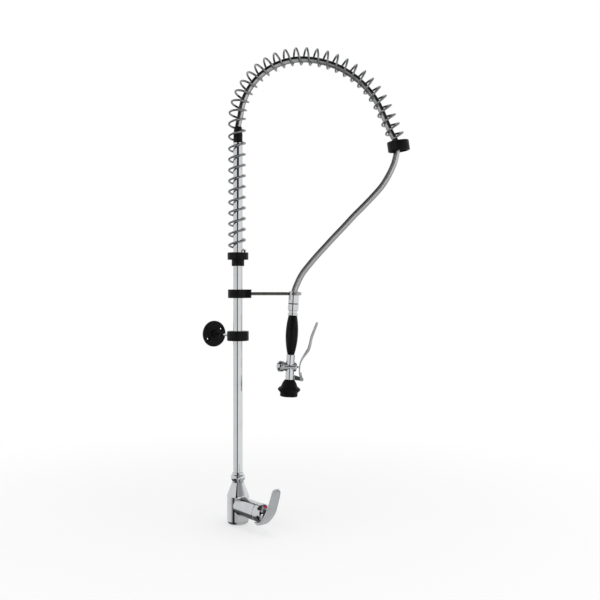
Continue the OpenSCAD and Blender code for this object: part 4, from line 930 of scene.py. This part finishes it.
satin.rough(satin.spread(satin.noise(120, 4), 0.34, 0.42))
satin.colour(satin.tint(satin.spread(satin.noise(45), 0, 1), (0.52, 0.52, 0.52), (0.56, 0.56, 0.56)))
pivot = gun @ Matrix.Translation((pivot_x * mm, 0, pivot_z * mm))
fit(soften(strip, 0), pivot, satin.made, "trigger_metal", "trigger", "trigger")

# The spray head: a thick bumper of moulded black rubber with an angular rim round its middle. It's pulled
# over the brass spray body.
head_tall = 38
head_low = valve_low - 0.6 - head_tall
outline = [
    (17.5, 0), (18.6, 0), (19.8, 0.8), (20.2, 2.2), (20.4, 9.8), (22.5, 10.9), (26, 15.1), (26, 17.5),
    (22.5, 21.3), (19.8, 22.3), (18.4, 25), (15.8, 31.5), (11.75, head_tall), (10.1, head_tall), (17.5, 20),
    (17.5, 0)]
bumper = lathe("bumper_shell", [(radius, head_low + height) for radius, height in outline])
bumper_rubber = black_finish("bumper_rubber", (0.002, 0.002, 0.002), 0.5, 1100)
fit(soften(bumper, 0.6, 3, 20), gun, bumper_rubber, "bumper_rubber", "gun", "spray_bumper")


# The small and inner pieces: pins, screws, seals, the cartridge and the valve's parts. They are turned,
# pressed or moulded, keep their plain form, and get the finish of their metal, plastic or rubber.
def metal_finish(name, tone, rough):
    made = Finish(name, tone, rough, 1.0)
    made.colour(made.tint(made.spread(made.noise(150, 4), 0, 1), tuple(0.88 * c for c in tone), tone))
    made.rough(made.spread(made.noise(400, 3), rough - 0.06, rough + 0.1))
    made.bump(made.noise(1200, 2), 0.0001, 0.2)
    return made.made


def plastic_finish(name, tone, rough):
    made = Finish(name, tone, rough)
    made.colour(made.tint(made.spread(made.noise(120, 3), 0, 1), tuple(0.9 * c for c in tone), tone))
    made.rough(made.spread(made.noise(300, 3), rough - 0.05, rough + 0.08))
    made.bump(made.noise(800, 2), 0.0001, 0.15)
    return made.made


finishes = {
    "chrome": chrome, "black_plastic": black_plastic, "grip_rubber": grip_rubber,
    "bumper_rubber": bumper_rubber, "hose_sheath": sheath, "spring_steel": plated_wire,
    "trigger_metal": satin.made,
    "steel": metal_finish("plain_steel", (0.56, 0.57, 0.58), 0.26),
    "brass": metal_finish("turned_brass", (0.72, 0.55, 0.27), 0.25),
    "seal_rubber": black_finish("seal_rubber", (0.02, 0.02, 0.02), 0.6, 1600),
    "cartridge_plastic": plastic_finish("cartridge_moulding", (0.8, 0.79, 0.74), 0.4),
    "red_plastic": red_enamel.made, "blue_plastic": blue_enamel.made,
}

# The valve spring: a small coil of steel wire between the cap and the poppet, built at its rest length.
# The real one shortens as the trigger presses the stem.
spring_cap, spring_poppet, spring_wire, press = -14.0, -5.65, 0.5, 3.9
small_radius, small_turns, small_steps = 4.2, 5, 120
small_low, small_high = spring_cap + spring_wire + 0.05, spring_poppet - spring_wire - 0.05


def small_point(share):
    angle = 2 * math.pi * small_turns * share
    return gun @ Vector(((small_low + (small_high - small_low) * share) * mm,
                         small_radius * math.cos(angle) * mm,
                         (cross_z + small_radius * math.sin(angle)) * mm))


small_coil = [small_point(i / small_steps) for i in range(small_steps + 1)]
small_spring = tube_along("valve_spring_wire", small_coil, spring_wire * mm, 12)
small_spring.data.materials.append(finishes["steel"])
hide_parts("valve_spring")
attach(small_spring, "gun")
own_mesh(small_spring)

# Each CAD node takes the finish of its slot.
slots = {part["node"]: part["material_slot"] for part in frame["record"]["subparts"]}
for name, node in frame["nodes"].items():
    for place in node.material_slots:
        place.material = finishes[slots[name]]
